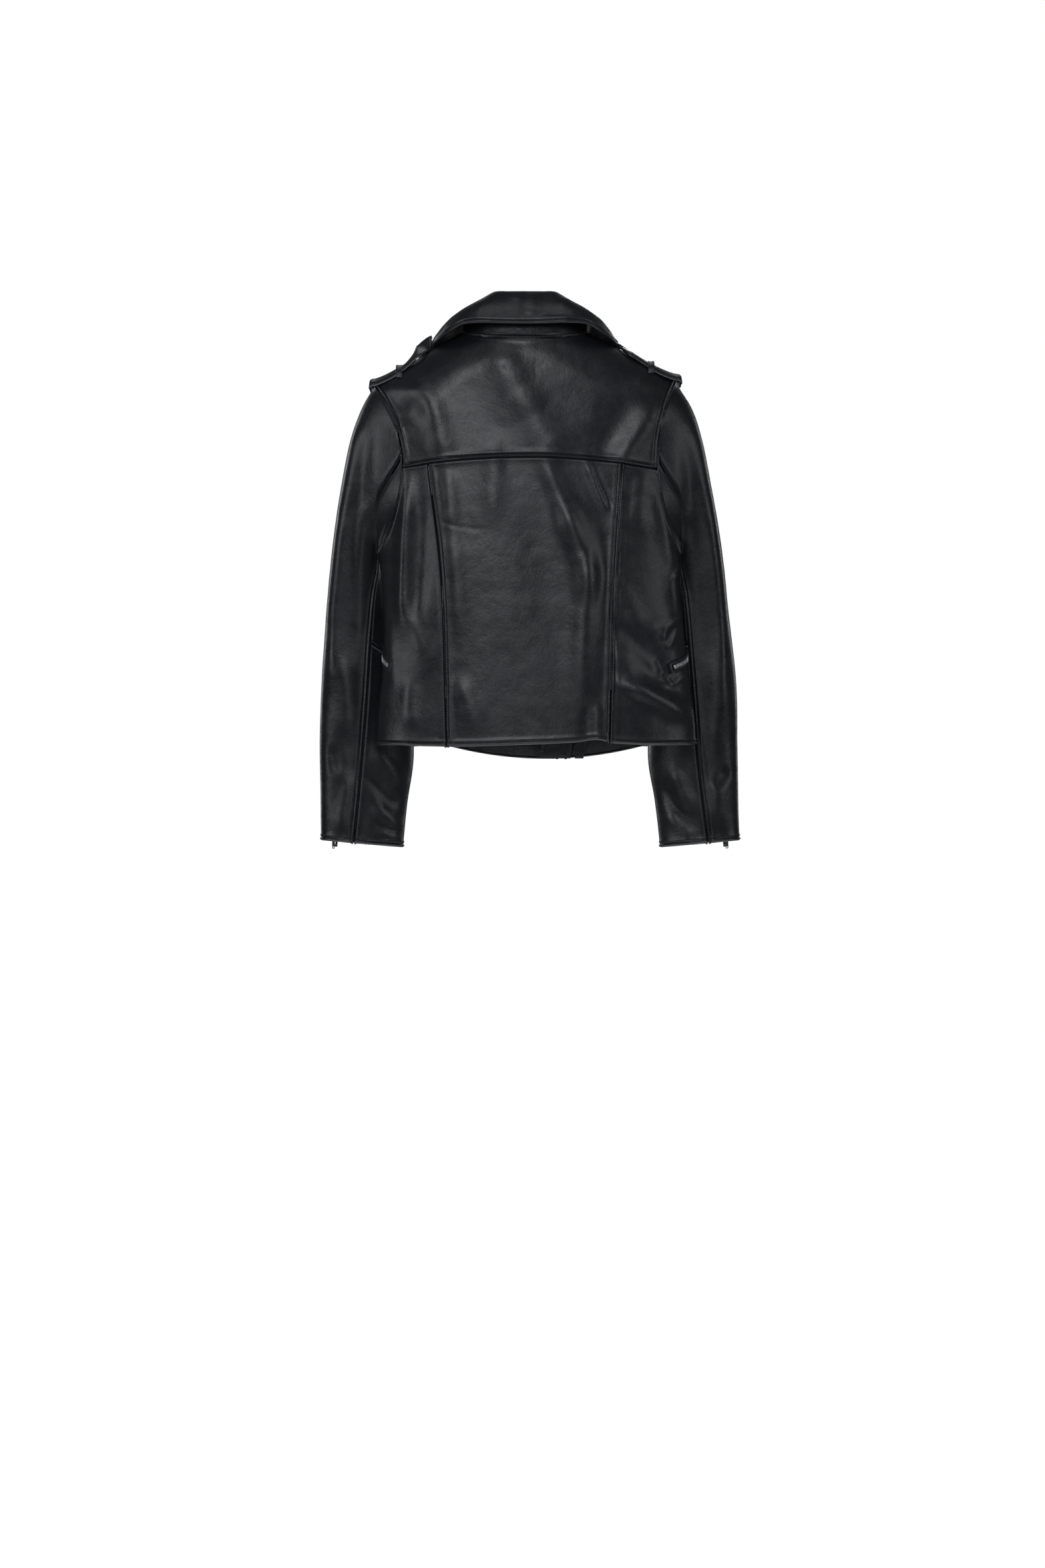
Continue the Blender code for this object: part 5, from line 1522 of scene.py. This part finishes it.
def build_main_zip():
    count = 60
    out = np.array([0.0, -1.0, 0.0])
    top, bottom = (
        on_body(x, z + shift, True) + out * 1.8 for (x, z), shift in ((ZIP_TOP, -2.0), (ZIP_BOTTOM, 0.0))
    )
    path = straight_line(top, bottom, count)
    outs = facing_along(out, count)
    on_root(zip_teeth("main_zip_teeth", path, outs), "main_zip_chain")
    for side, word in SIDES:
        strip = ribbon(f"main_zip_tape_cloth_{word}", path, outs, (side * 7.3, -1.7), 13.5)
        on_root(strip, f"main_zip_tape_{word}")
    zip_parts("main_zip", out, 34.0, 9.0)
    axes = axes_from(np.array([bottom - top]), out[None])
    shape = joined(((7.0, 6.6, 3.0), 0.6, (0, 0, 0)), ((3.0, 7.4, 1.6), 0.5, (-1.5, 0, 0)))
    on_root(metal_piece("main_zip_box_metal", shape, bottom + axes[:, 0] * 4.5, axes), "main_zip_box")


def build_chest_zip():
    count = 24
    ends = [on_body(x, z, True) + np.array([0, -ZIP_CLEARANCE, 0]) for x, z in CHEST_ZIP]
    path = straight_line(*ends, count)
    outs = facing_along(unit([0.12, -1.0, 0.0]), count)
    on_root(zip_teeth("chest_zip_teeth", path, outs), "chest_pocket_zip_chain")
    zip_tapes("chest_zip", path, outs, on_root)
    welt("chest_zip_welt", path, outs, on_root)
    zip_parts("chest_pocket_zip", outs[0], 20.0, 8.0)
    end_stops("chest_zip_stop", path, outs, on_root)


def build_hand_pocket(side, word):
    """A pocket zip that runs straight across the front, then round the side of the body."""
    straight_count = 18
    start = on_body(*HAND_POCKET_FRONT[side], True) + np.array([0, -ZIP_CLEARANCE, 0])
    bend_x, bend_z = HAND_POCKET_BEND[side]
    bend = on_body(bend_x, bend_z, True) + unit([side * 0.42, -1.0, 0]) * ZIP_CLEARANCE
    end_x, end_z = HAND_POCKET_END[side]
    share = np.linspace(0, 1, 30)[1:]
    turn = between(turn_at(side, bend_x, bend_z, True), turn_at(side, end_x, end_z, False), share)
    z = between(bend_z, end_z, share**0.8)
    around = body_point(side, turn, z)
    tangent = body_point(side, turn + 0.02, z) - around
    facing = unit(stack(tangent[:, 1], -tangent[:, 0], 0.0)) * side
    from_middle = around - stack(side * SIDE_MIDDLE_X, RIDGE_Y, z)
    facing[(facing * from_middle).sum(-1) < 0] *= -1
    path = np.concatenate([straight_line(start, bend, straight_count), around + facing * 1.8])
    outs = np.concatenate([facing_along(unit([side * 0.24, -1.0, 0]), straight_count), facing])
    # Ease the zip and its facing over the bend
    for _ in range(6):
        path[16:-1] = (path[15:-2] + path[16:-1] * 2 + path[17:]) / 4
        outs[14:-1] = unit(outs[13:-2] + outs[14:-1] * 2 + outs[15:])
    prefix = f"hand_zip_{word}"
    on_root(zip_teeth(f"{prefix}_teeth", path, outs), f"hand_pocket_zip_{word}_chain")
    zip_tapes(prefix, path, outs, on_root, drop=-1.1, width=6.0)
    welt(f"{prefix}_welt", path, outs, on_root)
    zip_parts(f"hand_pocket_zip_{word}", outs[0], 20.0, 8.0)
    end_stops(f"{prefix}_stop", path, outs, on_root)


def build_cuff_zip(side, word):
    count = 30
    prefix = f"cuff_zip_{word}"
    ring = np.array([LAST_RING - 0.02, LAST_RING - 1.3])
    low, high = sleeve_point(side, ring, np.full(2, CUFF_ZIP_TURN), gaps=(2.0, 5.6))
    along = unit(joint_vector(f"{prefix}_slide", "axis"))
    high = low + along * np.linalg.norm(high - low)
    out = low - sleeve_inside(side, np.array([LAST_RING - 0.5]))[0]
    out = unit(out - along * np.dot(out, along))
    lift = out * CUFF_ZIP_LIFT[side]
    path = straight_line(low + lift, high + lift, count)
    outs = facing_along(out, count)

    def ride(piece):
        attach(piece, f"sleeve_{word}")

    teeth = zip_teeth(f"{prefix}_teeth", path, outs)
    ride(teeth)
    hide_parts(f"{prefix}_chain")
    zip_tapes(prefix, path, outs, ride, drop=-1.0, width=6.0)
    welt(f"{prefix}_welt", path, outs, ride)
    zip_parts(prefix, outs[0], 20.0, 9.0, hang_sign=-1.0)
    end_stops(f"{prefix}_stop", path, outs, ride)


def build_studs():
    for side, word in SIDES:
        node = f"epaulette_snap_{word}"
        stud(f"epaulette_stud_{word}", node, node_box(node)[0], (side * 0.55, 0, 1), 4.0, 1.2, "root")
        node = f"lapel_snap_{word}"
        centre = node_box(node)[0] + np.array([0, 1.0, 0])
        stud(f"lapel_stud_{word}", node, centre, (0, -1, 0), 5.0, 2.2, f"lapel_{word}")


# ---------------------------------------------------------------- inside


def build_back_lining():
    u, v = np.meshgrid(np.sin(np.linspace(-1, 1, 90) * math.pi / 2), np.linspace(0, 1, 100) ** 1.1)
    hem = -541.0
    tip_x, tip_z = shoulder_tip(u)
    end_z = between(tip_z - 4.0, hem, v)
    underarm_z = by_side(u, {side: place[1] for side, place in UNDERARM.items()})
    below_x = half_width(np.where(u >= 0, 1, -1), end_z) - LINING_INSET - 3.0
    x = u * np.where(end_z > underarm_z, back_armhole_x(u, end_z) - 2.0, below_x)
    top_x = u * (tip_x - 4.0)
    top = np.where(np.abs(top_x) < NECK_HALF_WIDTH, neck_z(top_x) - 7.0, ridge_z(top_x) - LINING_INSET - 1.0)
    z = between(top, hem, v)
    z = np.where(end_z > underarm_z, between(z, end_z, np.abs(u) ** 8), z)
    grid = on_body(x, np.minimum(z, ridge_z(x) - LINING_INSET - 4.0), False, LINING_INSET)
    cloth = cloth_piece("back_lining_cloth", grid, body_inside(grid), 34.0, 2.0, 0.8, 0.8)
    on_root(hung_cloth(cloth), "back_lining")


def build_front_lining(side, word):
    u, v = np.meshgrid(np.sin(np.linspace(0, 1, 44) * math.pi / 2), np.linspace(0.05, 0.97, 100))
    inner_x, inner_z = front_inner_edge(side, v)
    outer_x, outer_z = front_outer_edge(side, v)
    drop = np.clip((outer_z - UNDERARM[side][1]) / 50.0, 0, 1)
    wide = side * (half_width(side, outer_z) - LINING_INSET - 3.0)
    seam_top = armhole(side, FRONT_SEAM_TOP_TURN, True)[0]
    outer_x = np.where(v <= ZIP_SHARE, between(wide, seam_top, drop), outer_x)
    x = between(inner_x + side * 26.0, outer_x - side * 2.0, u)
    z = between(inner_z, outer_z, u)
    grid = on_body(x, np.minimum(z, ridge_z(x) - LINING_INSET - 0.5), True, LINING_INSET)
    cloth = cloth_piece(f"front_lining_cloth_{word}", grid, body_inside(grid), 34.0, 6.0, 0.8, 0.8)
    on_root(hung_cloth(cloth), f"front_lining_{word}")


def build_facing(side, word):
    """The leather strip inside each front edge, behind the zip tape."""
    u, v = np.meshgrid(np.linspace(0, 1, 18), np.linspace(0.0, 0.9, 110))
    x, z = front_inner_edge(side, v)
    here = x + side * between(-16.0 if side > 0 else 14.0, 26.0, u)
    grid = on_body(here, z, True, LINING_INSET + 3.2)
    inside = body_inside(grid)
    grid = grid + grid_normals(grid, inside) * (0.5 * ripples(grid, 28.0, 4.0))[..., None]
    strip = shell(f"front_facing_leather_{word}", grid, inside, leather, thickness=1.1)
    on_root(strip, f"front_facing_{word}")


def build_bag(name, node, x_ends, top_z, bottom_z, slope):
    """A pocket bag lying between the front and its lining, with small ripples all over."""
    u, v = np.meshgrid(np.linspace(0, 1, 26), np.linspace(0, 1, 40))
    x = between(*x_ends, u)
    z = between(top_z + slope * u, bottom_z, v)
    grid = on_body(x, z, True, 3.6)
    cloth = cloth_piece(name, grid, body_inside(grid), 12.0, 8.0, -0.35)
    on_root(hung_cloth(cloth), node)


def build_neck_fittings():
    """The locker loop and the blank label inside the back neck."""
    share = np.linspace(0, 1, 40)
    base = on_body(between(-32.0, 32.0, share), np.full(40, -12.0), False, LINING_INSET + 3.6)
    bow = np.sin(math.pi * share)
    path = base + stack(0.0, -9.0 * bow, -6.0 * bow)
    outs = facing_along((0.0, -1.0, 0.0), 40)
    loop = sweep("locker_loop_leather", path, outs, 6.0, 1.4, leather, 0.6)
    on_root(loop, "hanging_loop")
    u, v = np.meshgrid(np.linspace(-24.0, 24.0, 30), np.linspace(-30.0, -52.0, 16))
    grid = on_body(u, v, False, LINING_INSET + LINING + 2.8)
    inside = grid + np.array([0, 20.0, 0])
    patch = shell("neck_label_cloth", grid, inside, label_cloth, 0.6)
    on_root(patch, "neck_label")


# ---------------------------------------------------------------- the scene


def area_light(name, place, size, power):
    """A lamp that the camera can't see, aimed at the middle of the jacket."""
    data = bpy.data.lights.new(name, "AREA")
    data.shape = "RECTANGLE"
    data.size, data.size_y = size
    data.energy = power
    data.color = (0.93, 0.965, 1.0)
    made = bpy.data.objects.new(name, data)
    made.location = place
    made.rotation_euler = (Vector((0.0, 0.0, -0.35)) - Vector(place)).to_track_quat("-Z", "Y").to_euler()
    made.visible_camera = False
    bpy.context.scene.collection.objects.link(made)


def build_studio():
    scene = bpy.context.scene
    world = bpy.data.worlds.new("studio")
    scene.world = world
    world.use_nodes = True
    tree = world.node_tree
    background = tree.nodes["Background"]
    background.inputs["Color"].default_value = (0.95, 0.97, 1.0, 1.0)
    background.inputs["Strength"].default_value = 0.09
    white = tree.nodes.new("ShaderNodeBackground")
    white.inputs["Color"].default_value = (1.0, 1.0, 1.0, 1.0)
    white.inputs["Strength"].default_value = 1.0
    path = tree.nodes.new("ShaderNodeLightPath")
    mix = tree.nodes.new("ShaderNodeMixShader")
    tree.links.new(path.outputs["Is Camera Ray"], mix.inputs[0])
    tree.links.new(background.outputs[0], mix.inputs[1])
    tree.links.new(white.outputs[0], mix.inputs[2])
    tree.links.new(mix.outputs[0], tree.nodes["World Output"].inputs[0])

    bpy.ops.mesh.primitive_circle_add(vertices=96, radius=1.5, fill_type="NGON", location=(0, 0, -2.02))
    floor = bpy.context.object
    floor.name = "studio_floor"
    pale = bpy.data.materials.new("pale_floor")
    pale.use_nodes = True
    shader = pale.node_tree.nodes["Principled BSDF"]
    shader.inputs["Base Color"].default_value = (0.94, 0.94, 0.94, 1.0)
    shader.inputs["Roughness"].default_value = 0.9
    shader.inputs["Specular IOR Level"].default_value = 0.0
    shader.inputs["Emission Color"].default_value = (1.0, 1.0, 1.0, 1.0)
    shader.inputs["Emission Strength"].default_value = 0.55
    floor.data.materials.append(pale)

    # Behind the camera on the back's side, and the same in front for the other views
    for way, word in ((1, "back"), (-1, "front")):
        area_light(f"key_{word}", (0.5 * way, 3.6 * way, 0.8), (1.3, 1.3), 31.0)
        area_light(f"low_{word}", (0.0, 3.8 * way, -1.05), (1.4, 0.4), 3.5)
        area_light(f"high_{word}", (0.0, 1.7 * way, 2.1), (1.8, 0.7), 6.0)
        area_light(f"left_{word}", (2.7, 2.2 * way, 0.2), (0.55, 2.2), 18.0)
        area_light(f"right_{word}", (-2.7, 2.2 * way, 0.2), (0.55, 2.2), 11.0)

    camera_data = bpy.data.cameras.new("camera")
    camera = bpy.data.objects.new("camera", camera_data)
    camera_data.lens = 85.0
    camera_data.sensor_fit = "VERTICAL"
    camera_data.sensor_height = 36.0
    camera.location = (0.0036, 5.03, -0.609)
    camera.rotation_euler = (math.radians(90), 0.0, math.radians(180))
    scene.collection.objects.link(camera)
    scene.camera = camera
    scene.view_settings.view_transform = "Standard"


build_studio()

seams = [
    ("yoke_stitching", build_back_yoke()),
    ("back_stitching", build_back_centre()),
    ("collar_stitching", build_collar()),
]
for side, word in SIDES:
    seams.append((f"side_stitching_{word}", build_side_panel(side, word)))
    seams.append((f"front_stitching_{word}", build_front_panel(side, word)))
    build_sleeve(side, word)
    build_sleeve_lining(side, word)
    build_lapel(side, word)
    build_epaulette(side, word)
    build_hand_pocket(side, word)
    build_cuff_zip(side, word)
    build_front_lining(side, word)
    build_facing(side, word)
    bag_x = (side * 112.0, side * 160.0)
    build_bag(f"hand_bag_cloth_{word}", f"hand_pocket_bag_{word}", bag_x, -378.0, -520.0, -26.0)
for name, lines in seams:
    on_root(stitches(name, lines))
build_main_zip()
build_chest_zip()
build_bag("chest_bag_cloth", "chest_pocket_bag", (52.0, 130.0), -266.0, -352.0, 14.0)
build_back_lining()
build_neck_fittings()
build_studs()

bpy.context.view_layer.update()
